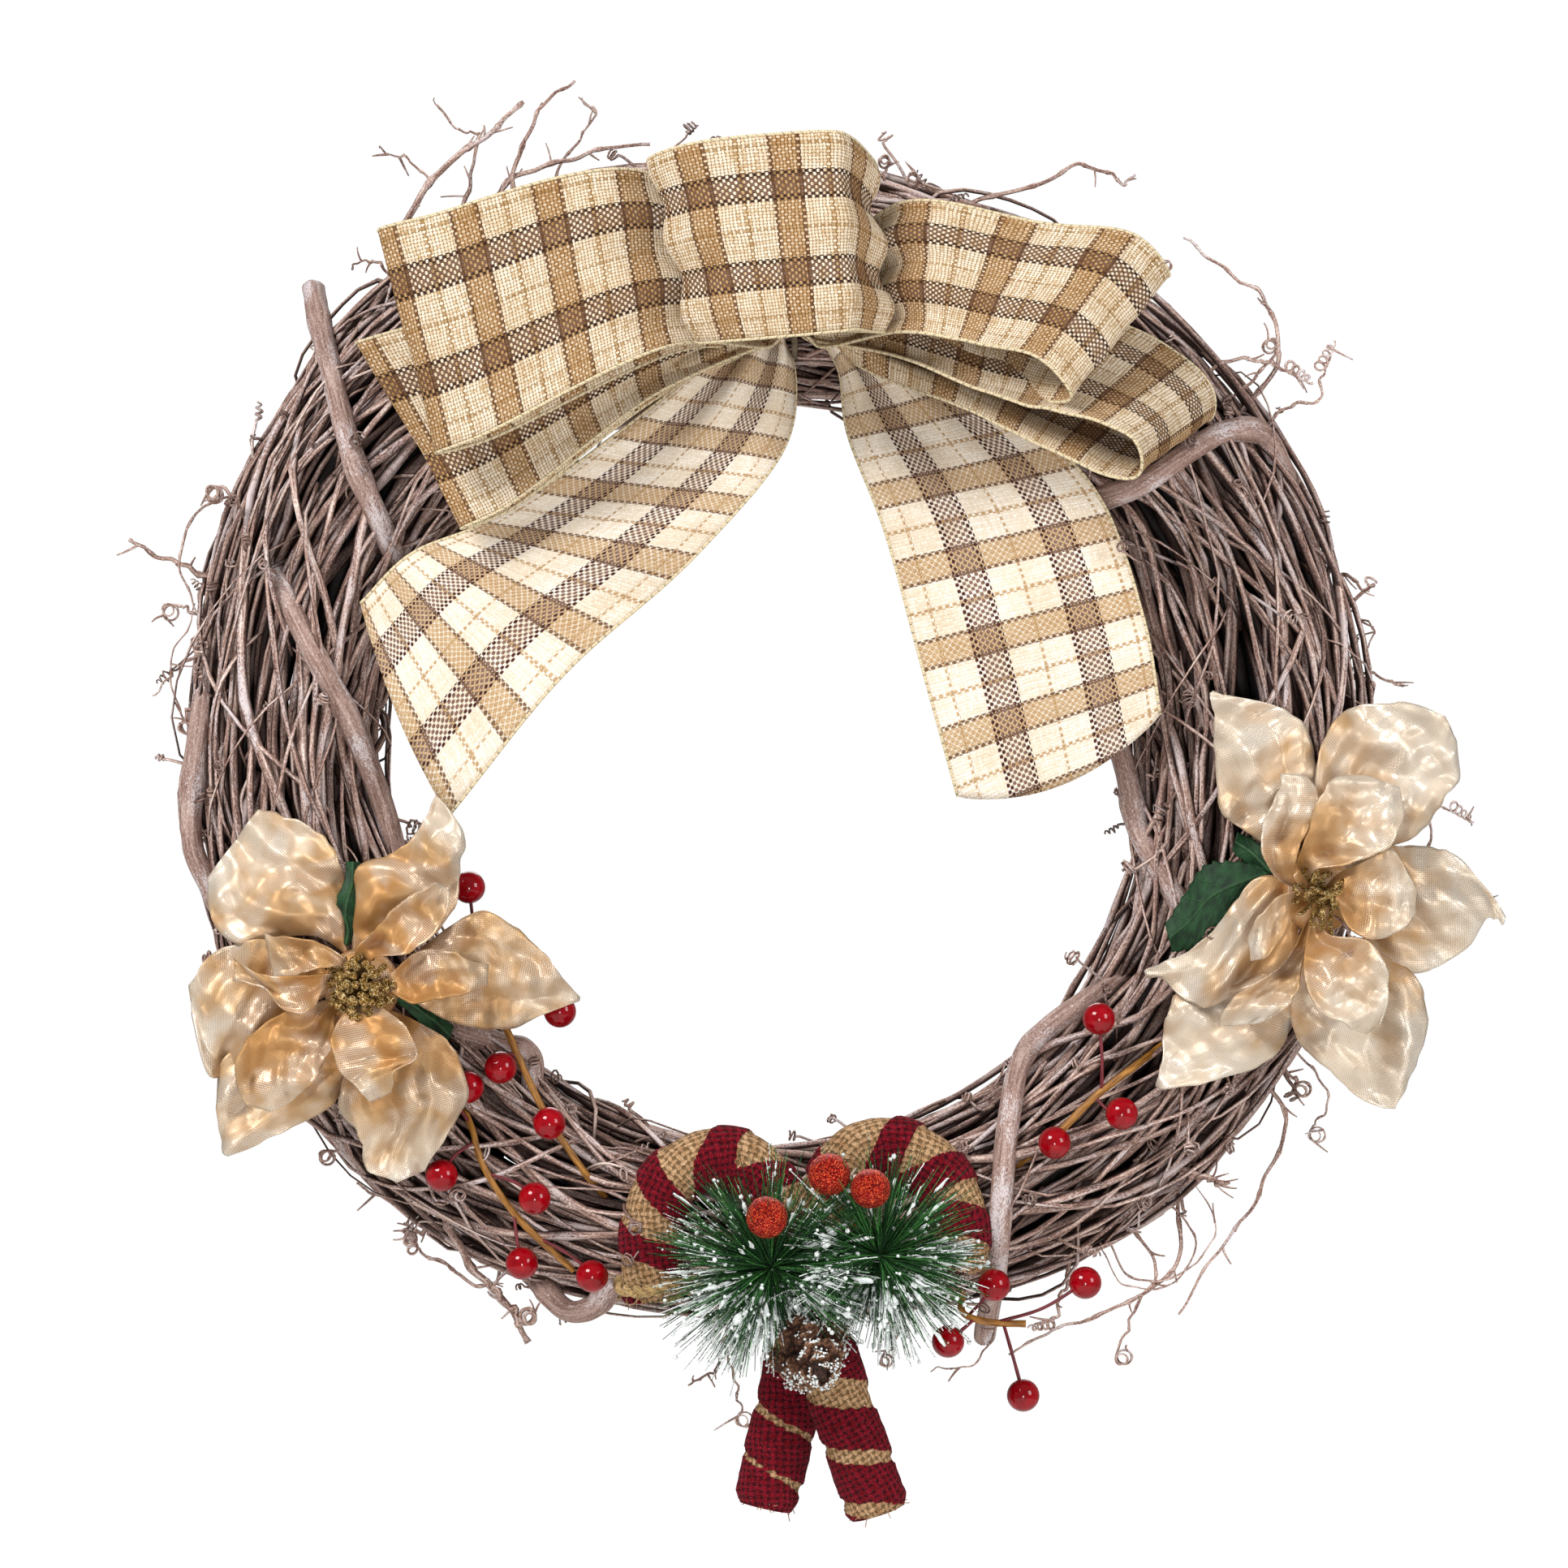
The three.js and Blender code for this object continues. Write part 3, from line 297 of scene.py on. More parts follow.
def bark(name, low, middle, high, wash):
    """Grapevine bark: streaks along the grain from a dark to a light colour, with fine pale specks and
    patches of whitewash, all of it darker where the mesh's tone is low: painted shade between and under
    the vines, and tone that differs at random from vine to vine."""
    made = Finish(name, Roughness=0.58, Specular_IOR_Level=0.4)
    streak = made.noise(made.place((1.1, 1.1, 0.07)), 1.0, 4)
    fleck = made.noise(made.place((1, 1, 0.5)), 2.6, 3)
    grain = made.plus(made.times(streak, 0.6), made.times(fleck, 0.4))
    wood = made.ramp(grain, (0.38, low), (0.5, middle), (0.63, high))
    broad = made.noise(made.place((0.16, 0.16, 0.05)), 1.0, 3)
    washed = made.step(made.plus(broad, made.times(fleck, 0.6)), 0.8, 0.98)
    specks = made.times(made.step(fleck, 0.62, 0.7), 0.6)
    white = made.larger(made.times(washed, wash), specks)
    painted = made.mix(white, wood, colour("dad3d6"))
    # painted shade: the mesh's tone, low between and under the vines, darkens the bark
    shade = made.ramp(made.tone(), (0.0, "150a07"), (0.3, "5b443c"), (0.75, "ece1dc"), (1.0, "ffffff"))
    made.paint(made.dim(painted, shade))
    made.relief(grain, 0.7, 0.7)
    return made.material


def wound_vines(seed, count, span, out, radius, drift, dive, sway):
    """The lines and radii of vines wound into the bundle. The angle round the ring grows evenly over the
    span. The turn round the section drifts and sways in triangle waves, which are straight between the
    joints. The depth sways too, and falls at both ends by a sixth power. The radius tapers, and swells at
    the joints."""
    rng = np.random.default_rng(seed)
    steps = int(np.ceil(0.5 * sum(span) * RING_MIDDLE.mean() / VINE_STEP))
    share = np.linspace(0, 1, steps)
    number = np.arange(count)
    draw = rng.random((12, count, 1))
    swing = rng.normal(0, 1, (2, count, 1))
    length = span[0] + (span[1] - span[0]) * draw[0]
    start = 2 * np.pi * (number[:, None] + draw[1]) / count
    angle = start + length * (share - 0.5)
    joint = 6.3 * draw[2] + (9 + 9 * draw[3]) * angle
    wave = 6.3 * draw[9] + (3 + 4 * draw[10]) * angle
    bent = sway * (0.55 * np.arcsin(np.sin(joint)) + np.arcsin(np.sin(wave)))
    spread = 2 * np.pi * (GOLDEN_SHARE * number[:, None] + 0.04 * swing[1])
    turn = spread + drift * swing[0] * (share - 0.5) + bent
    ends = np.abs(2 * share - 1) ** 6
    rise = 0.9 * np.sin(0.7 * joint + 5 * draw[6]) + 9 * sway * np.sin(wave + 5 * draw[11])
    depth = out[0] + (out[1] - out[0]) * draw[5] + rise - dive * ends
    paths = on_ring(angle, turn, depth)
    thick = radius[0] + (radius[1] - radius[0]) * draw[7] ** 2
    swell = 1 + 0.3 * np.abs(np.sin(joint)) ** 40 + 0.08 * np.sin(3.1 * joint + 4 * draw[8])
    radii = thick * (1.1 - 0.3 * np.abs(share - np.round(draw[8]))) * swell
    # painted shade: a vine's tone, which differs at random from vine to vine, falls the deeper the vine lies
    # in the bundle, and the outward direction lets tubes darken its side that faces into the bundle
    tone = np.clip((0.75 + 0.25 * draw[4]) * (1 + 0.07 * np.minimum(depth - 0.5, 0)), 0.05, 1.0)
    outward = unit(on_ring(angle, turn, 3.0) - on_ring(angle, turn, -3.0))
    return {"paths": paths, "radii": radii, "tone": tone, "outward": outward, "arc": arc_at(start[:, 0])}


vine_bark = bark("vine_bark", "5c3e33", "a98b7f", "f0e1d8", 0.85)
# The layers from the inside out: what winds each, and how many sides its vines have.
VINE_LAYERS = [
    ({"seed": 3, "count": 70, "span": (1.3, 1.7), "out": (-19, -13), "radius": (2.6, 3.6), "drift": 0.8,
      "dive": 2, "sway": 0.03}, 5),
    ({"seed": 4, "count": 140, "span": (0.9, 1.5), "out": (-10, -6), "radius": (1.4, 2.5), "drift": 0.8,
      "dive": 5, "sway": 0.04}, 5),
    ({"seed": 5, "count": 300, "span": (0.8, 1.4), "out": (-5, -1.5), "radius": (0.9, 1.8), "drift": 0.9,
      "dive": 7, "sway": 0.045}, 5),
    ({"seed": 6, "count": 330, "span": (0.7, 1.3), "out": (-2, 1.0), "radius": (0.9, 1.75), "drift": 1.0,
      "dive": 8, "sway": 0.045}, 6),
    ({"seed": 7, "count": 250, "span": (0.4, 1.0), "out": (0.5, 3.2), "radius": (0.55, 1.3), "drift": 1.4,
      "dive": 9, "sway": 0.06}, 5),
    ({"seed": 8, "count": 90, "span": (0.25, 0.5), "out": (3.5, 6.5), "radius": (0.35, 0.75), "drift": 1.2,
      "dive": 11, "sway": 0.05}, 5),
]
wound = [(wound_vines(**facts), sides) for facts, sides in VINE_LAYERS]
for i, arc in enumerate(ARC_NAMES):
    surfaces = []
    for layer, sides in wound:
        own = layer["arc"] == i
        kept = {key: layer[key][own] for key in ("paths", "radii", "tone", "outward")}
        surfaces.append(tubes(sides=sides, **kept))
    make_piece(f"vines_{arc}", surfaces, vine_bark, [f"vine_ring_{arc}"])

# Twigs that broke away from the bundle, and the tendrils that the vine once climbed with, dried into springs.
# Each grows out of a vine of the ring. The longer ones have joints, kinks, spurs and a curl at the tip.
STRETCH_STEPS = 14  # from one given point of a twig to the next
COIL_STEPS = 44
TENDRILS = 250
TENDRIL_STEPS = 32
CURL = {"turns": 1.34, "radius": 2.8, "pitch": 0.8, "rise": 1.2}
SPRING = {"turns": 3.2, "radius": 2.0, "pitch": 2.2, "rise": 0.3}
# Each twig: the points of its line from the root on, its thickness, and how its tip is coiled.
TWIGS = [
    ([[-112, 2, 134], [-119, -6, 152], [-106, -9, 176], [-89, -10, 191], [-78, -8, 200]], 1.2, None),
    ([[-106, -9, 176], [-114, -10, 183], [-123, -9, 186]], 0.45, None),
    ([[-98, 4, 138], [-97.5, -2, 164], [-91, -6, 191]], 0.8, None),
    ([[-91, -6, 191], [-99, -8, 193], [-105, -8, 201]], 0.35, None),
    ([[-76, 0, 152], [-81, -5, 178], [-74, -8, 196], [-63, -6, 208]], 0.8, None),
    ([[-62, 6, 156], [-68, 3, 180], [-60, 0, 191], [-56, 0, 198], [-59, 0, 203]], 0.5, None),
    ([[-92, -2, 160], [-85, -4, 174], [-64, -4, 184], [-39, -3, 188]], 1.0, None),
    ([[-118, -2, 144], [-124, -4, 152], [-131, -5, 150]], 0.5, None),
    ([[30, -2, 160], [33, -8, 176], [36, -10, 183]], 0.5, CURL),
    ([[38, -2, 158], [42, -8, 170], [45, -10, 177]], 0.45, CURL),
    ([[54, -4, 158], [62, -10, 170], [81, -14, 174], [94, -15, 181], [103, -14, 178], [108, -14, 174],
      [111, -14, 179]], 0.75, None),
    ([[144, -2, 104], [156, -6, 122], [152, -6, 139], [140, -6, 149], [126, -4, 159]], 0.8, None),
    ([[110, -4, 138], [117, -8, 147], [121, -9, 149]], 0.35, CURL),
    ([[124, -2, 112], [139, -8, 120], [150, -10, 121], [156, -10, 118]], 0.6, SPRING),
    ([[136, 0, 106], [148, -8, 115], [155, -10, 124]], 0.5, CURL),
    ([[146, -2, 96], [158, -6, 106], [168, -8, 109], [170, -8, 117]], 0.5, SPRING),
    ([[164, 4, 60], [176, 0, 55], [185, -2, 49]], 0.7, None),
    ([[168, 2, 48], [178, -2, 44], [185, -3, 38], [184, -3, 31]], 0.4, None),
    ([[164, 2, 22], [178, 0, 26], [183, -2, 21]], 0.5, SPRING),
    ([[166, 2, 14], [184, 0, 24], [196, -2, 19]], 0.6, None),
    ([[168, 8, -30], [190, 6, -34], [204, 2, -28], [203, 0, -17], [209, -1, -19]], 0.45, SPRING),
    ([[168, 8, -34], [192, 6, -42], [212, 4, -48], [219, 2, -47]], 0.45, CURL),
    ([[168, -40, -48], [175, -48, -56], [178, -50, -61]], 0.4, CURL),
    ([[146, 4, -84], [158, 0, -98], [163, -3, -104]], 0.6, CURL),
    ([[150, 2, -88], [166, -2, -97], [171, -4, -110], [166, -4, -118]], 0.4, CURL),
    ([[140, 4, -92], [159, 0, -114], [151, -4, -134], [141, -6, -151], [124, -4, -174]], 0.75, None),
    ([[126, -10, -130], [133, -14, -132], [140, -15, -134]], 1.3, None),
    ([[125, 0, -134], [124, -4, -160], [104, -6, -173], [88, -6, -179], [73, -5, -186]], 0.7, None),
    ([[116, 0, -136], [130, -4, -150], [124, -6, -164], [108, -6, -166], [98, 0, -146]], 0.35, None),
    ([[100, 0, -146], [112, -6, -164], [131, -8, -158], [136, -8, -148], [128, 0, -128]], 0.35, None),
    ([[104, 0, -140], [118, -4, -160], [111, -6, -174], [106, -6, -186]], 0.5, CURL),
    ([[92, 2, -148], [90, -2, -166], [86, -5, -176]], 0.55, SPRING),
    ([[66, 4, -164], [68, 2, -182], [61, 0, -190], [48, -1, -193]], 0.4, None),
    ([[36, 6, -168], [38, 0, -182], [34, -3, -188]], 0.45, CURL),
    ([[-16, 6, -156], [-16, 4, -184], [-20, 2, -194], [-27, 0, -196]], 0.6, None),
    ([[-16, 4, -184], [-12, 2, -198], [-11, 0, -205]], 0.4, CURL),
    ([[-84, 2, -144], [-88, 0, -166], [-102, -4, -160], [-110, -6, -154]], 0.6, SPRING),
    ([[-96, 4, -134], [-108, -2, -148], [-114, -6, -150]], 0.6, CURL),
    ([[-104, 2, -128], [-102, -4, -146], [-90, -6, -164], [-76, -6, -182]], 1.5, None),
    ([[-90, -6, -164], [-82, -9, -172], [-78, -9, -178]], 0.9, CURL),
    ([[-108, 0, -126], [-118, -4, -138], [-129, -5, -135]], 0.7, None),
    ([[-116, 4, -114], [-124, -2, -126], [-137, -4, -124]], 0.55, CURL),
    ([[-160, 4, 52], [-178, -2, 55], [-189, -6, 60], [-201, -8, 65]], 0.9, None),
    ([[-160, 0, 40], [-178, -4, 42], [-186, -6, 46]], 0.5, CURL),
    ([[-164, 0, 80], [-178, -6, 75], [-184, -7, 60], [-180, -6, 44], [-166, 0, 32]], 0.45, None),
    ([[-168, 2, 18], [-178, -4, 15], [-184, -6, 10]], 0.55, CURL),
    ([[-170, 2, 34], [-184, -3, 27], [-192, -4, 18]], 0.5, None),
    ([[-150, 0, 70], [-164, -6, 76], [-171, -8, 81]], 0.7, CURL),
    ([[-166, 0, -2], [-182, -4, 8], [-187, -6, 24], [-180, -5, 46]], 0.4, None),
]


def smooth_path(points, steps):
    """Points in so many steps along a smooth curve through the given ones, equally many on each stretch. A
    stretch is a cubic, whose slopes weigh the chords on both sides by the square roots of their lengths."""
    points = np.asarray(points, float)
    places = np.linspace(0, len(points) - 1, steps)
    p = np.concatenate([[2 * points[0] - points[1]], points, [2 * points[-1] - points[-2]]])
    gaps = np.sqrt(np.linalg.norm(np.diff(p, axis=0), axis=1))
    i = np.clip(places.astype(int), 0, len(points) - 2)
    t = (places - i)[:, None]
    a, b, c, d = (p[i + k] for k in range(4))
    before, here, after = (gaps[i + k][:, None] for k in range(3))
    slope_b = ((b - a) / before - (c - a) / (before + here) + (c - b) / here) * here
    slope_c = ((c - b) / here - (d - b) / (here + after) + (d - c) / after) * here
    turned = 3 * t**2 - 2 * t**3
    return (1 - turned) * b + turned * c + (t**3 - 2 * t**2 + t) * slope_b + (t**3 - t**2) * slope_c


def twig(points, thick, coil, seed):
    """A tapering twig along a smooth path, bent a little at each joint by triangle waves. A curl at its end
    circles beside the line of the last step, ever tighter, while it creeps on and forward. Short spurs leave
    the thicker twigs at random places, along the twig's own line turned a random way."""
    rng = np.random.default_rng(seed)
    path = smooth_path(points, STRETCH_STEPS * (len(points) - 1))
    far = np.linspace(0, 1, len(path))[:, None]
    phase = rng.random((2, 3)) * 6
    path += np.arcsin(np.sin(14 * far + phase[0])) * 0.7 * far + np.arcsin(np.sin(33 * far + phase[1])) * 0.25
    if coil:
        along = unit(path[-1] - path[-3])
        side = np.array([-along[2], 0, along[0]])
        turns = (coil["turns"] + 1) * np.linspace(0, 1, COIL_STEPS)[1:, None]
        r = coil["radius"] * (1 - 0.5 * turns / turns[-1])
        angle = 2 * np.pi * turns
        ahead = r * np.sin(angle) + coil["pitch"] * turns
        forward = np.array([0, 1, 0]) * coil["rise"] * turns
        curl = path[-1] + along * ahead + side * r * (1 - np.cos(angle)) - forward
        path = np.concatenate([path, curl])
    share = np.linspace(0, 1, len(path))
    knots = np.abs(np.sin(0.35 * len(path) * share + phase[0, 0])) ** 30
    radii = thick * (1.1 - 0.55 * share) * (1 + 0.5 * knots)
    tone = 0.7 + 0.25 * rng.random()
    count = int(5 * thick)
    roots = rng.integers(10, len(path) - 4, count)
    away = unit(unit(path[roots + 2] - path[roots]) + 0.9 * rng.normal(0, 1, (count, 3)) * (1, 0.5, 1))
    t = np.linspace(0, 1, 8)[None, :, None]
    spurs = path[roots][:, None] + rng.uniform(3, 8, (count, 1, 1)) * t * away[:, None]
    spurs = spurs + rng.normal(0, 1.1, (count, 1, 3)) * t**2
    return [tubes(path[None], radii[None], 6, tone), tubes(spurs, 0.38 * (1.2 - 0.6 * t[..., 0]), 4, tone)]


def tendrils(seed, count):
    """Tendrils all round the bundle. Each runs off the face for a way, then circles its own line, with the
    circle's size growing at first and shrinking towards the tip."""
    rng = np.random.default_rng(seed)
    draw = rng.random((12, count, 1))
    angle = 2 * np.pi * (np.arange(count)[:, None] + draw[0]) / count
    turn = -np.pi * (draw[1] * 1.15 - 0.075)
    root = on_ring(angle[:, 0], turn[:, 0], -2.0)
    normal = unit(on_ring(angle[:, 0], turn[:, 0], 2.0) - root)
    tangent = np.concatenate([-np.sin(angle), 0 * angle, np.cos(angle)], 1) * np.sign(draw[2] - 0.5)
    stray = 0.4 * rng.normal(0, 1, (count, 3))
    ahead = unit(tangent * (0.4 + draw[3]) + normal * (0.25 + 0.75 * draw[4]) + stray)
    across = unit(np.cross(ahead, rng.normal(0, 1, (count, 3))))
    third = np.cross(ahead, across)
    s = np.linspace(0, 1, TENDRIL_STEPS)
    run = np.minimum(s / 0.35, 1)
    wind = np.clip((s - 0.3) / 0.7, 0, 1)
    turns = 1 + 3.2 * draw[5]
    size = (1.1 + 1.9 * draw[6]) * np.minimum(3 * wind, 1) * (1.1 - 0.6 * wind)
    phase = 2 * np.pi * turns * wind
    line = (5 + 13 * draw[7]) * run + (0.7 + 1.3 * draw[8]) * turns * wind
    bend = 2.5 * (draw[9] - 0.5) * np.sin(np.pi * run) * 2
    paths = root[:, None] + line[..., None] * ahead[:, None]
    paths = paths + (size * (1 - np.cos(phase)) + bend)[..., None] * across[:, None]
    paths = paths + (size * np.sin(phase))[..., None] * third[:, None]
    radii = (0.38 + 0.3 * draw[10]) * (1 - 0.45 * s)
    return {"paths": paths, "radii": radii, "tone": 0.45 + 0.5 * draw[11], "arc": arc_at(angle[:, 0])}


climbing = tendrils(11, TENDRILS)
for i, arc in enumerate(ARC_NAMES):
    own = climbing["arc"] == i
    surfaces = [tubes(climbing["paths"][own], climbing["radii"][own], 4, climbing["tone"][own])]
    for number, (points, thick, coil) in enumerate(TWIGS):
        if arc_at(np.arctan2(points[0][2], points[0][0])) == i:
            surfaces.extend(twig(points, thick, coil, 40 + number))
    make_piece(f"twigs_{arc}", surfaces, vine_bark, [f"vine_ring_{arc}"])

# Thick lengths of vine are wound round the bundle to bind it, with their ends tucked in among the others.
# They are smooth, grey brown and mottled with whitewash, and as thick as a finger where they bend.
THICK_RADIUS = 3.5
THICK_OUT = 3.4  # from the bundle's outline to a thick vine's middle
THICK_STEPS = 70
THICK_SIDES = 20
# Each row: x, z, and how far the vine sinks in there.
BINDING_VINES = {
    "upper_left": [[-141, 132, 7], [-136, 114, 0], [-129, 89, 0], [-119, 64, 6]],
    "mid_left": [[-150, 46, 6], [-141, 29, 0], [-131, 9, 0], [-122, -14, 0], [-117, -34, 5]],
    "outer_left": [[-178, 8, 5], [-180.5, -16, 0], [-180, -30, 0], [-173, -46, 5]],
    "right": [[96, 77, 5], [111, 81, 0], [126, 91, 0], [138, 98, 0], [150, 98, 0], [157, 88, 6]],
    "inner_right": [[106, 4, 5], [109, -9, 0], [112, -24, 0], [124, -46, 6]],
    "lower_right": [[101, -74, 5], [84, -86, 0], [76, -96, 0], [71, -119, 0], [69, -146, 0], [67, -168, 6]],
    "bottom": [[-71, -167, 5], [-64, -173, 0], [-56, -172, 0], [-50, -164, 5]],
    "lower_left": [[-99, -86, 5], [-86, -90, 0], [-76, -94, 0], [-75, -104, 5]],
}


def smooth_noise(place, seed=0):
    """Values from -1 to 1 that change smoothly over space: a random height at each whole-numbered point,
    and between these points the mean of those around, weighted by smooth steps."""
    place = np.asarray(place, float)
    cell = np.floor(place).astype(np.int64)
    t = place - cell
    t = t * t * (3 - 2 * t)
    strides = np.array([73856093, 19349663, 83492791])[: place.shape[-1]]
    total = 0
    for corner in np.ndindex(*(2,) * place.shape[-1]):
        key = ((cell + corner) * strides).sum(-1) + 1442695 * seed
        key = (key ^ (key >> 13)) * 1274126177 & 0x7FFFFFFF
        height = ((key ^ (key >> 15)) & 0xFFFF) / 32767.5 - 1
        total = total + height * np.where(corner, t, 1 - t).prod(-1)
    return total


def binding_vine(rows, seed):
    """A thick vine over the front of the bundle: its depth follows the section's oval, less what each row
    says it sinks, and each end goes on into the bundle. Its radius swells at joints and in a low noise."""
    x, z, sink = np.array(rows, float).T
    angle = np.arctan2(z, x)
    share = (np.hypot(x, z) - around(RING_MIDDLE, angle)) / around(RING_HALF_WIDTH, angle)
    share = np.clip(share, -0.96, 0.96)
    line = np.stack([x, sink - RING_HALF_DEPTH * np.sqrt(1 - share**2) - THICK_OUT, z], 1)
    ends = [line[0] + 0.7 * (line[0] - line[1]), line[-1] + 0.7 * (line[-1] - line[-2])]
    for end in ends:
        end[1] += 7
    path = smooth_path([ends[0], *line, ends[1]], THICK_STEPS)
    turn = 2 * np.pi * np.arange(THICK_SIDES) / THICK_SIDES
    far = np.linspace(0, 1, THICK_STEPS)[:, None]
    wood = np.stack(np.broadcast_arrays(1.4 * np.cos(turn), 1.4 * np.sin(turn), 9 * far), -1)
    lumps = 0.1 * smooth_noise(wood, seed) + 0.05 * smooth_noise(2.4 * wood, seed + 1)
    knots = 0.16 * np.abs(np.sin(7 * far + seed)) ** 24
    return tubes(path[None], (THICK_RADIUS * (1 + lumps + knots))[None], THICK_SIDES, 1.0)


thick_bark = bark("thick_bark", "795a4f", "9d8075", "b89f95", 0.7)
for number, (name, rows) in enumerate(BINDING_VINES.items()):
    make_piece(f"thick_vine_{name}", [binding_vine(rows, 60 + number)], thick_bark,
               [f"binding_vine_{name}"])

# The bow is made of wired plaid ribbon 65 mm wide, an open weave of cream, tan and brown threads. It is
# folded into five loops and two tails, gathered at the knot and tied with a brown wire. Each edge is a fine
# wire, overlocked in cream with a grey green stitch.
RIBBON_WIDTH = 65
CLOTH_THICKNESS = 0.5
EDGE_RADIUS = 0.52
STITCH_PITCH = 2.7
WRAP_PITCH = 0.9
RIBBON_GRIDS = {"tail": (80, 29), "loop": (124, 29)}
KNOT = {"x": 6, "z": 137, "back": -27.5, "half": 9.5}
LAYER = 1.3  # from one fold of cloth to the next in the knot
CENTRE = KNOT["back"] - LAYER * 5
PLEATS = 2.5  # waves across the ribbon where it is gathered
PLEAT_LIMIT = 4.2
END_BULGE = {"tail_right": 9, "tail_left": 3}  # how far a tail's cut end bows out


def at_knot(side, layer, reach=1.8, spread=0):
    """A row at or near the knot: both edges at its depth, on one side of it, a little apart or together."""
    x, y = KNOT["x"] + side * reach, KNOT["back"] - LAYER * layer
    return [[x, y, KNOT["z"] + KNOT["half"] + spread], [x, y, KNOT["z"] - KNOT["half"] - spread]]


# Each row: a point of one edge, and the point of the other edge across from it.
RIBBONS = {
    "tail_left": [
        at_knot(-1, 0), at_knot(-1, 0, 4, -1), [[-16, -28.5, 124], [6, -28.5, 118]],
        [[-44, -28.5, 100], [3, -31, 94]], [[-89, -29, 70], [-24, -33, 60]],
        [[-112, -29, 60], [-64, -30, 24]], [[-127, -30, 45], [-100, -27, -20]],
    ],
    "tail_right": [
        at_knot(1, 0), at_knot(1, 0, 5, -1), [[34, -28.5, 128], [19, -28.5, 118]],
        [[68, -28.5, 108], [22, -29, 98]], [[98, -29, 80], [34, -32, 66]],
        [[113, -31, 40], [46, -31, 22]], [[118, -30, 11], [56, -27, -14]],
    ],
    "loop_lower_left": [
        at_knot(-1, 1), at_knot(-1, 1, 6, 2), [[-44, -32, 142], [-36, -32, 108]],
        [[-110, -35, 128], [-82, -35, 73]], [[-128, -39, 124], [-95, -39, 68]],
        [[-110, -43, 129], [-82, -43, 74]], [[-44, -37, 143], [-36, -37, 109]],
        at_knot(-1, 2, 6, 2), at_knot(-1, 2),
    ],
    "loop_upper_left": [
        at_knot(-1, 3), at_knot(-1, 3, 7, 3), [[-36, -41, 168], [-28, -41, 122]],
        [[-104, -47, 156], [-88, -47, 94]], [[-120, -54, 157], [-102, -54, 90]],
        [[-104, -61, 161], [-88, -61, 95]], [[-40, -58, 175], [-32, -58, 122]],
        at_knot(-1, 4, 8, 4), at_knot(-1, 4),
    ],
    "loop_lower_right": [
        at_knot(1, 1), at_knot(1, 1, 6, 2), [[32, -27, 141], [32, -36, 115]],
        [[74, -24, 131], [62, -52, 102]], [[114, -26, 114], [89, -66, 87]],
        [[133, -31, 101], [108, -72, 83]], [[134, -36, 110], [107, -77, 92]],
        [[114, -36, 127], [87, -74, 101]], [[76, -34, 137], [66, -64, 106]],
        [[40, -36, 143], [36, -47, 119]], at_knot(1, 2, 6, 2), at_knot(1, 2),
    ],
    "loop_upper_right": [
        at_knot(1, 3), at_knot(1, 3, 7, 3), [[44, -42, 160], [46, -46, 120]],
        [[104, -46, 152], [77, -64, 106]], [[120, -53, 143], [88, -76, 106]],
        [[109, -59, 155], [80, -78, 116]], [[78, -59, 160], [60, -68, 122]],
        [[38, -56, 166], [40, -60, 126]], at_knot(1, 4, 8, 4), at_knot(1, 4),
    ],
    "loop_centre": [
        [[1, CENTRE, 155], [1, CENTRE, 128.5]], [[-12, CENTRE - 8, 165], [-10, CENTRE - 8, 127.5]],
        [[-27, -60, 175], [-18, -60, 126]], [[-38.3, -66, 177], [-25, -66, 122.5]],
        [[-26, -76, 181], [-12, -76, 122.5]], [[2, -79, 184], [8, -79, 124]],
        [[18, -78.5, 184.5], [22.5, -78.5, 125.5]], [[20.5, -76.5, 184], [25, -76.5, 126]],
        [[26.5, -66, 180], [31, -66, 126]], [[29.5, -57, 174], [35, -56, 126.5]],
        [[23, -51, 168], [29, -51, 127]],
        [[13, CENTRE - 8, 163], [14, CENTRE - 8, 128]], [[4, CENTRE, 155], [4, CENTRE, 128.5]],
    ],
}


def grid_faces(rows, columns):
    """The quads between the points of a grid that is numbered row by row."""
    i, j = np.divmod(np.arange((rows - 1) * (columns - 1)), columns - 1)
    a = i * columns + j
    return np.stack([a, a + 1, a + columns + 1, a + columns], 1)


def cloth_surface(points, place, tone):
    """A surface from a grid of points, with their places and tones."""
    rows, columns = points.shape[:2]
    return {"points": points.reshape(-1, 3), "faces": grid_faces(rows, columns),
            "place": place.reshape(-1, 3), "tone": np.broadcast_to(tone, (rows, columns)).ravel()}


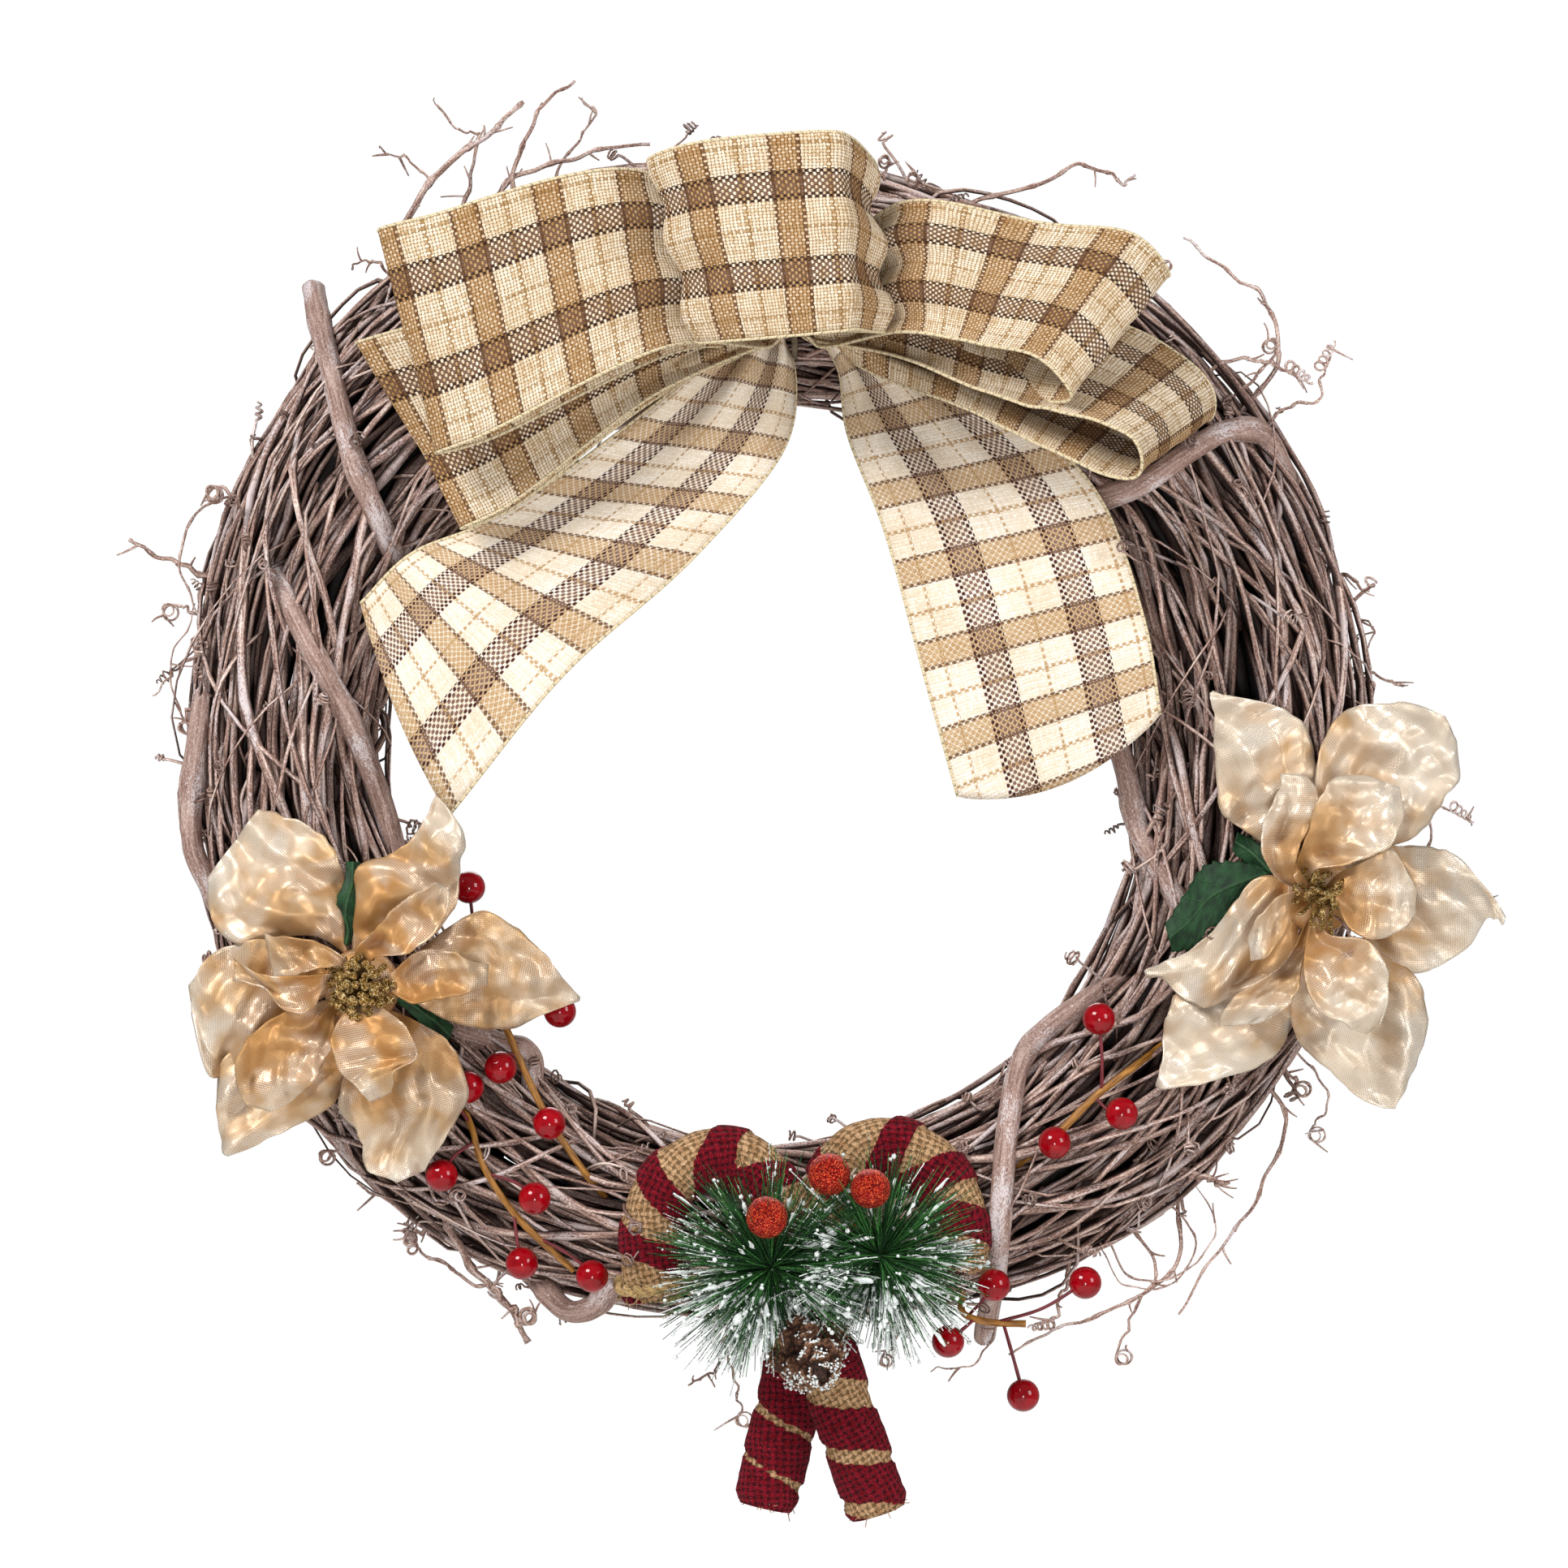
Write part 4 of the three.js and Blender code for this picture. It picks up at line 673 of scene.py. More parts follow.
def ribbon_points(name, rows, columns, seed):
    """A piece of ribbon as a grid. Both edges are smooth curves through its rows, and straight lines join
    them. Near the knot the cloth is pleated: where a row is narrower than the ribbon, a wave across it
    takes up the rest of the width, as long as that leaves its sides steep enough to stand. Slow waves cross
    it all."""
    given = RIBBONS[name]
    first, second = (smooth_path([row[k] for row in given], rows) for k in (0, 1))
    v = np.linspace(0, 1, columns)[None, :]
    points = first[:, None] * (1 - v[..., None]) + second[:, None] * v[..., None]
    middle = points.mean(1)
    far = distance_along(middle)
    tail = name.startswith("tail")
    to_knot = (far if tail else np.minimum(far, far[-1] - far))[:, None]
    bulge = END_BULGE.get(name, 0) * np.sin(np.pi * v) ** 0.8 * (far / far[-1])[:, None] ** 5
    points = points + bulge[..., None] * unit(np.gradient(middle, axis=0))[:, None]
    u = (far / far[-1])[:, None]
    width = np.linalg.norm(second - first, axis=1)[:, None]
    gathered = np.sqrt(np.maximum(RIBBON_WIDTH**2 - width**2, 0)) / (4 * PLEATS)
    fade = np.exp(-np.maximum(to_knot - 12, 0) / (34 if tail else 40))
    pleats = np.minimum(gathered, PLEAT_LIMIT) * fade * np.sin(2 * np.pi * PLEATS * v + 0.8)
    shift = PLAID_SHIFT.get(name, 0)
    place = np.stack(np.broadcast_arrays(far[:, None] + shift + bulge, RIBBON_WIDTH * v, 0 * v), -1)
    slow = np.stack(np.broadcast_arrays(far[:, None] / 24, 1.8 * v + seed), -1)
    quick = np.stack(np.broadcast_arrays(far[:, None] / 8, 5 * v + seed), -1)
    waves = 1.4 * np.minimum(to_knot / 30, 1) * smooth_noise(slow, seed)
    waves = waves + 0.45 * np.minimum(to_knot / 15, 1) * smooth_noise(quick, seed + 1)
    if tail:
        waves = waves - 1.6 * np.sin(5 * u + 2) * np.sin(6 * v + 7 * u) * np.minimum(1, 4 * u)
    if name == "tail_left":
        waves = waves - 6 * np.clip((v - 0.7) / 0.3, 0, 1) * np.exp(-(((to_knot - 38) / 26) ** 2))
    normal = unit(np.cross(np.gradient(middle, axis=0), second - first))
    normal = normal * np.sign(-normal[rows // 4, 1])
    return points + (pleats + waves)[..., None] * normal[:, None], place


def thicken(piece, thickness):
    """Gives a sheet its wall, half of it on each side."""
    wall = piece.modifiers.new("thickness", "SOLIDIFY")
    wall.thickness = thickness / 1000
    wall.offset = 0


def plain_weave(made, along, across, pitch, tight, fuller=0.0):
    """A plain weave, as three patterns. Sines of the two places, one hump to a thread, are multiplied:
    where the product is above 0 the lengthwise thread is on top, and a fuller one is on top for longer. The
    furrows run beside the top thread, where the cosine of its own place is near 1 in size, and the holes
    are where the product of both cosines passes a value that is higher in a tighter weave."""
    a = made.times(along, np.pi / pitch)
    b = made.times(across, np.pi / pitch)
    crossing = made.times(made.sine(a), made.sine(b))
    over = made.step(made.plus(crossing, fuller), 0.0, 0.22)
    beside_a = made.size(made.arithmetic("COSINE", a))
    beside_b = made.size(made.arithmetic("COSINE", b))
    furrow_a = made.step(beside_a, 0.6, 0.9)
    furrow_b = made.step(beside_b, 0.7, 0.96)
    under = made.minus(1.0, over)
    furrow = made.plus(made.times(over, furrow_b), made.times(under, furrow_a))
    hole = made.step(made.times(beside_a, beside_b), tight, tight + 0.24)
    return over, furrow, hole


# The plaid, in millimetres of cloth. Brown stripes with dark rims and thin gold lines run lengthwise, and tan
# stripes with brown rims cross them, with a thin line halfway between.
THREAD_PITCH = 1.05
PLAID_SHIFT = {"loop_centre": 11}
STRIPE_MIDDLES = (0.255, 0.69)  # shares of the ribbon's width
STRIPE_WIDTH = 9.6
RIM_WIDTH = 1.9
RIM_SHIFT = 4.0  # from the middle of a stripe to its rim
GOLD_LINES = (0.05, 0.47, 0.9)  # shares of the ribbon's width
CROSS_REPEAT = 12.6  # from the middle of a tan stripe to the thin line
CROSS_HALF_WIDTH = 4.3


def plaid_weave(name, behind, fade):
    """The ribbon's weave. Lengthwise threads take their colour from how far across they lie, and crosswise
    ones from how far along. In the furrows both colours darken each other and a shadow colour, as painted
    shade, and what lies behind shows in the holes. Where a stripe runs, its own threads are fuller, and the
    cream ones that cross a tan stripe are tinted. Each thread has pale and dark stretches, from noise drawn
    out along it."""
    made = Finish(name, Roughness=0.85, Specular_IOR_Level=0.15)
    split = made.place_parts()
    along, across = split[0], split[1]
    bend = made.noise(made.place((0.12, 0.12, 1)), 1.0, 2)
    along_bent = made.plus(along, made.times(bend, 1.6))
    across_bent = made.plus(across, made.times(bend, 1.1))
    lengthwise_slub = made.noise(made.place((0.14, 0.95, 1)), 1.0, 3)
    crosswise_slub = made.noise(made.place((0.95, 0.14, 1)), 1.0, 3)
    stain = made.noise(made.place((0.06, 0.06, 1)), 1.0, 3)

    def band(value, centre, width, soft=0.15):
        """1 within a width about a centre, 0 outside."""
        off = made.size(made.minus(value, centre))
        return made.minus(1.0, made.step(off, width / 2 - soft, width / 2 + soft))

    def any_of(*bands):
        """1 where any of the bands is 1."""
        total = bands[0]
        for each in bands[1:]:
            total = made.larger(total, each)
        return total

    stripes = [RIBBON_WIDTH * share for share in STRIPE_MIDDLES]
    brown = any_of(*(band(across, centre, STRIPE_WIDTH) for centre in stripes))
    rim_middles = [centre + side * RIM_SHIFT for centre in stripes for side in (-1, 1)]
    rims = any_of(*(band(across, centre, RIM_WIDTH) for centre in rim_middles))
    gold_lines = any_of(*(band(across, RIBBON_WIDTH * share, 1.0) for share in GOLD_LINES))
    repeat = made.arithmetic("PINGPONG", along, CROSS_REPEAT)
    tan = made.minus(1.0, made.step(repeat, CROSS_HALF_WIDTH, CROSS_HALF_WIDTH + 0.3))
    tan_rims = band(repeat, RIM_SHIFT, 1.3)
    thin = band(repeat, 12.4, 1.0)
    fuller = made.times(made.minus(brown, tan), 0.12)
    over, furrow, hole = plain_weave(made, along_bent, across_bent, THREAD_PITCH, fade["tight"], fuller)
    tinted = made.mix(made.times(tan, 0.42), colour(fade["cream"]), colour(fade["tan"]))
    warp = made.mix(brown, tinted, colour(fade["brown"]))
    warp = made.mix(made.times(gold_lines, 0.8), warp, colour(fade["gold"]))
    warp = made.mix(rims, warp, colour(fade["rim"]))
    weft = made.mix(tan, colour(fade["cream"]), colour(fade["tan"]))
    weft = made.mix(made.times(thin, 0.8), weft, colour(fade["gold"]))
    weft = made.mix(made.times(tan_rims, 0.8), weft, colour("5d3b26"))
    thread = made.mix(over, weft, warp)
    slub = made.larger(made.times(over, lengthwise_slub), made.times(made.minus(1.0, over), crosswise_slub))
    uneven = made.ramp(slub, (0.36, fade["slub"]), (0.48, "f4eee6"), (0.6, "ffffff"))
    toned = made.dim(thread, uneven)
    toned = made.dim(toned, made.ramp(stain, (0.35, "f3ede4"), (0.6, "ffffff")))
    # painted shade: the furrows beside the top threads take both thread colours darkened by the shadow colour
    seam = made.dim(warp, made.dim(weft, colour(fade["shadow"])))
    cloth = made.mix(made.times(furrow, fade["depth"]), toned, seam)
    open_weave = made.mix(made.times(hole, fade["open"]), cloth, colour(behind))
    made.paint(open_weave)
    height = made.minus(made.minus(1.0, made.times(furrow, 0.5)), hole)
    made.relief(height, 0.28, 0.6)
    return made.material


def overlock():
    """The edge: cream thread wound round a wire, with a small grey green stitch every few millimetres."""
    made = Finish("ribbon_overlock", Roughness=0.9, Specular_IOR_Level=0.1)
    lines = made.place_parts()
    cloud = made.noise(made.place((0.7, 0.7, 0.4)), 1.0, 3)
    slant = made.plus(made.times(lines[2], 2 * np.pi / STITCH_PITCH), made.times(lines[0], 3.0))
    stitch = made.step(made.plus(made.sine(slant), made.times(cloud, 0.5)), 1.1, 1.25)
    wound_thread = made.step(made.sine(made.times(lines[2], 2 * np.pi / WRAP_PITCH)), -1, 1)
    cream = made.mix(wound_thread, colour("ccb891"), colour("e0d0b2"))
    made.paint(made.mix(made.times(stitch, 0.75), cream, colour("5f5a48")))
    made.relief(made.plus(made.times(wound_thread, 0.6), cloud), 0.35, 0.6)
    return made.material


# The same cloth in two copies: the loops' colours are painted darker, as painted shade, and the tails'
# lighter, as painted light.
LOOP_TONES = {"brown": "765b4f", "rim": "402b25", "cream": "e9dcc8", "tan": "b8976e", "gold": "a78348",
              "shadow": "b9a587", "slub": "cfbb9c", "depth": 0.6, "tight": 0.68, "open": 0.58}
TAIL_TONES = {"brown": "84695f", "rim": "4c2a25", "cream": "f6eee3", "tan": "c6a982", "gold": "b28a4a",
              "shadow": "ddd0bb", "slub": "eae1d3", "depth": 0.38, "tight": 0.72, "open": 0.55}
plaids = {
    # painted shade: the loops' holes show the cloth behind them as a dark brown; the tails' holes show a pale
    # colour
    "tail": plaid_weave("plaid_single_painted_light", "f6efe5", TAIL_TONES),
    "loop": plaid_weave("plaid_double_painted_shade", "5d4630", LOOP_TONES),
}
edging = overlock()
for number, name in enumerate(RIBBONS):
    rows, columns = RIBBON_GRIDS[name[:4]]
    points, place = ribbon_points(name, rows, columns, number)
    cloth = cloth_surface(points, place, 1.0)
    ribbon = make_piece(f"ribbon_{name}", [cloth], plaids[name[:4]], [name])
    thicken(ribbon, CLOTH_THICKNESS)
    edges = tubes(np.stack([points[:, 0], points[:, -1]]), EDGE_RADIUS, 6)
    edge = make_piece(f"ribbon_edge_{name}", [edges], edging)

# The wire that ties the bow to the ring: brown paper-covered florist's wire, twice round the knot.
# It is pulled tight over the ribbon, and its ends go back through the vines.
TIE_RADIUS = 0.9
TIE_STEPS = 60
TIE_PATH = [
    [KNOT["x"], -16, KNOT["z"] + 16], [KNOT["x"], KNOT["back"], KNOT["z"] + 15],
    [KNOT["x"], CENTRE + 0.1, KNOT["z"] + 13], [KNOT["x"], CENTRE + 0.1, KNOT["z"]],
    [KNOT["x"], CENTRE + 0.1, KNOT["z"] - 13], [KNOT["x"], KNOT["back"], KNOT["z"] - 15],
    [KNOT["x"], -12, KNOT["z"] - 16],
]
paper_wire = Finish("paper_wire", Roughness=0.6)
twisted = paper_wire.noise(paper_wire.place((2, 2, 0.5)), 1.5, 3)
paper_wire.paint(paper_wire.ramp(twisted, (0.35, "3d3226"), (0.65, "7a6a52")))
paper_wire.relief(twisted, 0.3)
tie = smooth_path(TIE_PATH, TIE_STEPS)
make_piece("bow_wire", [tubes(tie[None], TIE_RADIUS, 10)], paper_wire.material, ["bow_tie"])

# The poinsettias are cut from a champagne gold gauze with a metallic thread, stiffened and crinkled by hand.
# Six long petals lie behind six short crumpled ones, round a trumpet of the same cloth, and green leaves
# behind them. All are wired to a stub that pins them to the vines.
PETAL_THICKNESS = 0.5
LONG_PETAL = {"grid": (52, 36), "ahead": 0, "broad": 21, "sharp": 10, "deep": 2.9, "rise": 7, "droop": 5,
              "curl": 2.6}
SHORT_PETAL = {"grid": (40, 28), "ahead": 8, "broad": 11, "sharp": 6.5, "deep": 4, "rise": 12, "droop": 0,
               "curl": -4}
FACETS = np.array([1.4, 1.0, 0.7, 0.5, 0.34])  # lengths of the flat facets, over that of the broad folds
CALYX_RADII = [3, 5, 8, 10.5, 11.5, 11, 9.5]
CALYX_SIDES = 30
LEAF_GRID = (60, 15)
LEAF_TEETH = 0.14
TOOTH_PITCH = 3.4
VEIN_PITCH = 7
GAUZE_PITCH = 0.62
LEAF_PLANE = -33  # the depth from which the leaves' own depths are counted forward
# A petal's rows run from its root to its tip, and give the x and z of one edge and then of the other.
FLOWERS = {
    "left": {
        "at": [-126, -33, -72],
        "pale": 0.0,
        "long": [
            [[-130.5, -59.8, -131.7, -61.8], [-130.9, -50.2, -138.9, -57], [-131.7, -38.3, -151.6, -57],
             [-135.7, -28.7, -164.4, -58.6], [-144.5, -22.3, -172, -51.8], [-158, -17.9, -173.2, -38.3]],
            [[-128.9, -59.8, -126.9, -62], [-127.7, -47, -115, -61.8], [-127.3, -35.5, -104.6, -56.6],
             [-115.8, -31.1, -97, -46.2], [-108.6, -23.9, -96.2, -33.5], [-105.8, -19.1, -94.6, -26.7],
             [-103.5, -13.5, -99.4, -18]],
            [[-117.3, -67.8, -116.2, -70.6], [-107, -59.8, -110.2, -76.5], [-96.6, -52.2, -100.6, -82.1],
             [-88.6, -49, -89.4, -84.7], [-75.9, -56.6, -79.9, -84.7], [-67.1, -66.2, -69.5, -80.5],
             [-59.8, -75.5, -60, -76.8]],
            [[-123.7, -78.9, -119.7, -78.1], [-127.7, -88.5, -110.2, -82.1], [-131.7, -100.5, -99, -89.3],
             [-132.5, -110, -95, -98.1], [-126.9, -116.4, -93.8, -106], [-124.5, -127.6, -100.6, -118],
             [-115, -131.6, -107, -128.4]],
            [[-135.7, -78.9, -131.7, -80.5], [-148.4, -82.9, -130.1, -90.9], [-161.2, -87.7, -130.5, -100.5],
             [-169.2, -95.7, -135.7, -108.4], [-170.4, -106.8, -146.9, -114.8],
             [-169.6, -116.4, -158.8, -120.4], [-168.4, -123, -167.4, -123.6]],
            [[-135.7, -67.8, -137.3, -74.9], [-145.3, -60.6, -145.3, -80.5], [-155.6, -57.4, -155.6, -88.5],
             [-166, -59.4, -166.8, -98.1], [-173.2, -63.8, -171.6, -99.7], [-178.8, -71.7, -178, -80.5]],
        ],
        "short": [
            [[-130.1, -63, -130.9, -65.8], [-138.9, -58, -137.3, -65.8], [-146.9, -56.4, -144.5, -68.2],
             [-154.8, -56.2, -151.6, -69.8]],
            [[-134.1, -67.8, -136.5, -72.5], [-144.5, -68.2, -139.7, -78.1], [-152.4, -68.2, -147.6, -78.9],
             [-158.8, -66.2, -154.8, -71.7], [-163.6, -62.2, -164, -70.2]],
            [[-138.1, -76.5, -133.3, -80.5], [-147.6, -78.9, -133.3, -88.5], [-157.2, -85.3, -137.3, -95.7],
             [-162.8, -93.3, -140.5, -101.3], [-162.8, -102.8, -145.3, -105.2],
             [-159.6, -107.6, -153.2, -109.4]],
            [[-130.1, -78.9, -119.7, -77.3], [-134.1, -86.9, -111.8, -82.9], [-131.7, -95.7, -107.8, -92.5],
             [-126.9, -101.3, -115, -97.3], [-122.1, -106.4, -115.8, -103.6]],
            [[-116.5, -67.8, -116.5, -73.3], [-108.6, -61.4, -110.2, -76.5], [-99, -60.6, -100.6, -74.9],
             [-91.8, -63.8, -92.6, -73.3], [-87, -65.8, -87.4, -72.1]],
            [[-126.9, -60.6, -121.3, -63], [-119.7, -53.4, -111, -61.4], [-114.2, -47, -103, -55],
             [-107, -42.2, -99, -47.8], [-102.2, -39.9, -98.2, -43]],
        ],
        "leaves": [
            [[-130.9, -34, -126.9, -34], [-131.1, -39.5, -126.5, -39.9], [-133.3, -44.6, -126.7, -44.6],
             [-133.5, -50.2, -128.4, -50.2], [-132.9, -55, -127.3, -54.6], [-130.9, -59.2, -130.4, -59.5]],
            [[-98.5, -84.5, -100.5, -90], [-103, -80.1, -103.6, -86.3], [-107, -76.5, -107.4, -84.1],
             [-111.8, -74.5, -111.8, -79.7], [-116.7, -74.8, -116.4, -75.9]],
        ],
        "leaf_depths": [(3, 8), (-3, 8)],
    },
    "right": {
        "at": [166, -33, -44],
        "pale": 0.36,
        "long": [
            [[159.9, -30.6, 156.4, -32.4], [164.3, -14, 145.9, -26.2], [164.5, -2.6, 136.6, -19.2],
             [162.5, 6.2, 134.9, -6.1], [156.4, 11.9, 134, 3.6], [145, 15.4, 133.6, 11.5],
             [134, 18.3, 132.9, 17.4]],
            [[161.6, -30.6, 165.2, -33.3], [164.3, -14, 176.6, -33.3], [165.6, -0.8, 188.8, -28.9],
             [172.2, 10.6, 197.6, -24.1], [182.7, 14.3, 204.6, -14], [195, 13.9, 208.6, -9.6],
             [204.6, 10.6, 208.1, 1.8]],
            [[170.4, -39.4, 172.2, -45.5], [180.9, -30.6, 179.2, -57], [191.5, -29.1, 189.7, -67],
             [202, -29.9, 201.1, -66.6], [209, -32.8, 212.1, -59.6], [216.9, -41.2, 217.8, -50.8],
             [223, -50.8, 222.5, -53.1]],
            [[159.9, -60.5, 168.7, -55.2], [158.1, -71.9, 185.3, -62.2], [157.4, -82.4, 195.4, -69.2],
             [161.6, -91.2, 198.7, -80.6], [170.4, -99.1, 196.7, -92], [179.2, -106.1, 192.3, -102.6],
             [186.2, -109.1, 189.3, -109.2]],
            [[154.6, -63.1, 159.9, -64], [138.8, -71.9, 158.1, -72.7], [124.8, -72.7, 157.1, -83.3],
             [119.5, -79.8, 152.9, -92.9], [118.7, -89.4, 141.5, -98.6], [117.8, -97.3, 129.2, -101.7],
             [116.9, -103, 117.8, -103.6]],
            [[156.4, -39.4, 159, -60.5], [147.6, -38.5, 155.5, -67.5], [140.6, -45.5, 144.1, -71.9],
             [133.6, -55.2, 131.8, -78.2], [124.8, -61.8, 123.9, -74.9], [117.8, -65.3, 117.8, -69.7],
             [112.8, -67.7, 113, -68.4]],
        ],
        "short": [
            [[152.9, -39.4, 157.3, -39.4], [147.2, -30.6, 158.1, -30.6], [147.6, -21.9, 162.1, -22.7],
             [151.6, -14, 164.3, -14], [154.2, -7, 161.2, -7.7]],
            [[158.1, -34.1, 163.4, -36.8], [160.8, -25.4, 173.9, -34.1], [164.3, -14, 185.3, -28.9],
             [169.5, -8.3, 189.7, -19.2], [179.2, -7.7, 189.3, -11.3]],
            [[170.4, -37.7, 169.5, -45.5], [178.3, -33.3, 173.9, -54.3], [186.2, -29.8, 182.7, -57.4],
             [191.5, -37.7, 190.6, -53.4], [194.5, -43.8, 194.1, -49.1]],
            [[160.8, -57.8, 166.9, -55.2], [159.9, -67.5, 179.2, -57.8], [163.4, -78, 184.9, -66.6],
             [172.2, -82.8, 185.3, -75.4], [179.2, -85.9, 183.1, -83.3]],
            [[154.6, -64, 159.9, -64.8], [141.5, -72.7, 157.7, -72.7], [135.3, -78.9, 152.9, -78.9],
             [134, -83.7, 145.9, -82.8]],
            [[155.5, -42.9, 156.4, -50.8], [149.4, -46.4, 152.9, -57], [145, -51.7, 147.6, -62.2],
             [143.2, -57, 144.1, -63.1]],
        ],
        "leaves": [
            [[152, -36.5, 151.5, -38.1], [142.3, -34.3, 141.5, -46.4], [131.8, -35.2, 134.5, -54.3],
             [125.2, -44.7, 127.4, -60.5], [119.5, -53.4, 121.7, -61.8]],
            [[152.2, -36.8, 150.6, -37.7], [146.7, -27.6, 143.2, -33.7], [141.5, -25.2, 140, -30.6]],
        ],
        "leaf_depths": [(3, -2), (3, -1)],
    },
}


def both_edges(given, steps):
    """Smooth curves along both edges of a flat outline, as two lines that lie at no depth."""
    return [smooth_path([(row[k], 0, row[k + 1]) for row in given], steps) for k in (0, 2)]


def petal(given, heart, shape, seed, pale):
    """A petal as a grid. Both edges are smooth curves from near the heart through its rows, and straight
    lines join them. It rises forward and droops to its tip, its edges curl and ripple, and it is crumpled
    by soft folds, each one minus the size of a noise, and by flat facets, which are a sum of triangle waves
    that run in random directions. Its tone rises to the tip."""
    rows, columns = shape["grid"]
    middle_of_flower = np.array([heart[0], heart[2], heart[0], heart[2]])
    given = [list(middle_of_flower + 0.25 * (np.array(given[0]) - middle_of_flower)), *given]
    first, second = both_edges(given, rows)
    u = np.linspace(0, 1, rows)[:, None]
    s = np.linspace(-1, 1, columns)[None, :]
    points = 0.5 * (first + second)[:, None] + 0.5 * (second - first)[:, None] * s[..., None]
    middle = points.mean(1)
    far = distance_along(middle)
    half = 0.5 * np.linalg.norm(second - first, axis=1)[:, None]
    place = np.stack([np.broadcast_to(far[:, None], (rows, columns)), half * s], -1)
    warp = np.stack([smooth_noise(place / 17, seed + 1), smooth_noise(place / 17, seed + 2)], -1)
    broad = smooth_noise(place / shape["broad"] + 0.35 * warp, seed + 3)
    sharp = smooth_noise(place / shape["sharp"] + 0.4 * warp + 7, seed + 4)
    small = smooth_noise(place / 3.6 + 0.6 * warp + 3, seed + 5)
    deep = shape["deep"]
    folds = deep * (1 - 2.2 * np.sqrt(broad**2 + 0.015)) + 0.4 * deep * (1 - 2 * np.abs(sharp))
    folds = 0.45 * folds + 0.1 * deep * small
    rng = np.random.default_rng(seed)
    for length in shape["broad"] * FACETS:
        heading = 2 * np.pi * rng.random()
        run = (place * (np.cos(heading), np.sin(heading))).sum(-1) / length
        run = run + rng.random() + 0.35 * warp[..., 0]
        folds = folds + 0.09 * length * (4 * np.abs(np.mod(run, 1) - 0.5) - 1)
    free = np.minimum(4 * u, 1) * (1 - 0.4 * s**4)
    forward = shape["rise"] * np.sin(0.8 * np.pi * u) - shape["droop"] * u**2
    curl = shape["curl"] * s**2 * np.sin(np.pi * u)
    ripple = 0.5 * deep * np.abs(s) ** 3 * np.sin(far[:, None] / 2.6 + 3 * np.sign(s) + seed) * u
    points[..., 1] = heart[1] - shape["ahead"] - 3 * (seed % 2) - forward - folds * free + curl - ripple
    beside_edge = np.stack([far[:, None] / 3 + 0 * s, np.sign(s) + 3 + 0 * u], -1)
    edge = 0.8 * smooth_noise(beside_edge, seed) * np.abs(s) ** 3
    points = points + edge[..., None] * unit(second - first + (0, 0, 1e-6))[:, None] * u[..., None]
    place = np.concatenate([place, np.full((rows, columns, 1), 40.0 * (seed % 50))], -1)
    return cloth_surface(points, place, pale + u)


def leaf(given, depths, seed):
    """A leaf as a grid between two smooth edges, whose way out is cut into saw teeth. Its depth runs evenly
    from the first row to the last, with a crease along the middle and a slow wave."""
    rows, columns = LEAF_GRID
    first, second = both_edges(given, rows)
    u = np.linspace(0, 1, rows)[:, None]
    s = np.linspace(-1, 1, columns)[None, :]
    half = 0.5 * (second - first)[:, None]
    middle = 0.5 * (first + second)
    far = distance_along(middle)[:, None]
    saw = 1 + LEAF_TEETH * (np.mod(far / TOOTH_PITCH + 0.3 * np.sign(s), 1) - 0.4)
    points = middle[:, None] + half * (s * saw)[..., None]
    wave = 1.4 * np.sin(5 * u + seed) + 1.6 * np.abs(s) + 0.8 * s * np.sin(7 * u)
    points[..., 1] = LEAF_PLANE - depths[0] - (depths[1] - depths[0]) * u + wave
    across = np.linalg.norm(half, axis=-1) * s
    place = np.stack([np.broadcast_to(far, across.shape), across, 0 * across + 9.0 * seed], -1)
    return cloth_surface(points, place, u)


def gauze():
    """Champagne cloth with a metallic thread: a fine net of silver over peach gold, deeper in colour near the
    heart and paler to the tips."""
    made = Finish("champagne_gauze", Metallic=0.5, Specular_IOR_Level=0.5)
    lines = made.place_parts()
    over, furrow, hole = plain_weave(made, lines[0], lines[1], GAUZE_PITCH, 0.62)
    cloud = made.noise(made.place((0.06, 0.08, 1)), 1.0, 3)
    folds = made.noise(made.place((0.09, 0.16, 1)), 1.0, 3)
    crease = made.size(made.minus(folds, 0.5))
    patch = made.noise(made.place((0.09, 0.06, 1)), 1.0, 2)
    drift = made.times(made.minus(cloud, 0.5), 1.3)
    outer = made.step(made.plus(made.tone(), drift), 0.0, 1.3)
    body = made.ramp(outer, (0.1, "b98850"), (0.5, "c49f74"), (0.9, "e0d0bc"))
    # painted highlight: in patches the top threads are painted near white, as highlights on the metallic
    # thread; the same patches are also really shinier
    silver = made.times(made.minus(1.0, furrow), made.step(patch, 0.45, 0.62))
    threads = made.mix(made.times(silver, 0.42), body, colour("fffaf2"))
    # painted shade: the net's holes are painted a darker brown
    netted = made.mix(made.times(hole, 0.42), threads, colour("7d5f3a"))
    made.paint(netted)
    rough = made.minus(0.5, made.times(made.step(patch, 0.4, 0.62), 0.14))
    made.feed(made.shader.inputs["Roughness"], rough)
    height = made.plus(made.times(furrow, -0.08), made.times(crease, -0.45))
    made.relief(height, 1.1, 0.8)
    return made.material


def leaf_cloth():
    """Dark green flocked leaf cloth with pressed veins: a midrib and slanting side veins."""
    made = Finish("leaf_cloth", Roughness=0.6, Specular_IOR_Level=0.3)
    lines = made.place_parts()
    off = made.size(lines[1])
    slant = made.sine(made.times(made.minus(lines[0], off), 2 * np.pi / VEIN_PITCH))
    vein = made.larger(made.minus(1.0, made.step(off, 0.2, 0.7)), made.step(slant, 0.93, 1.0))
    cloud = made.noise(made.place((0.3, 0.3, 1)), 1.0, 3)
    green = made.ramp(cloud, (0.35, "0c2814"), (0.65, "1d4424"))
    made.paint(made.mix(made.times(vein, 0.3), green, colour("3a5f38")))
    made.relief(made.plus(vein, cloud), 0.4, 0.7)
    return made.material


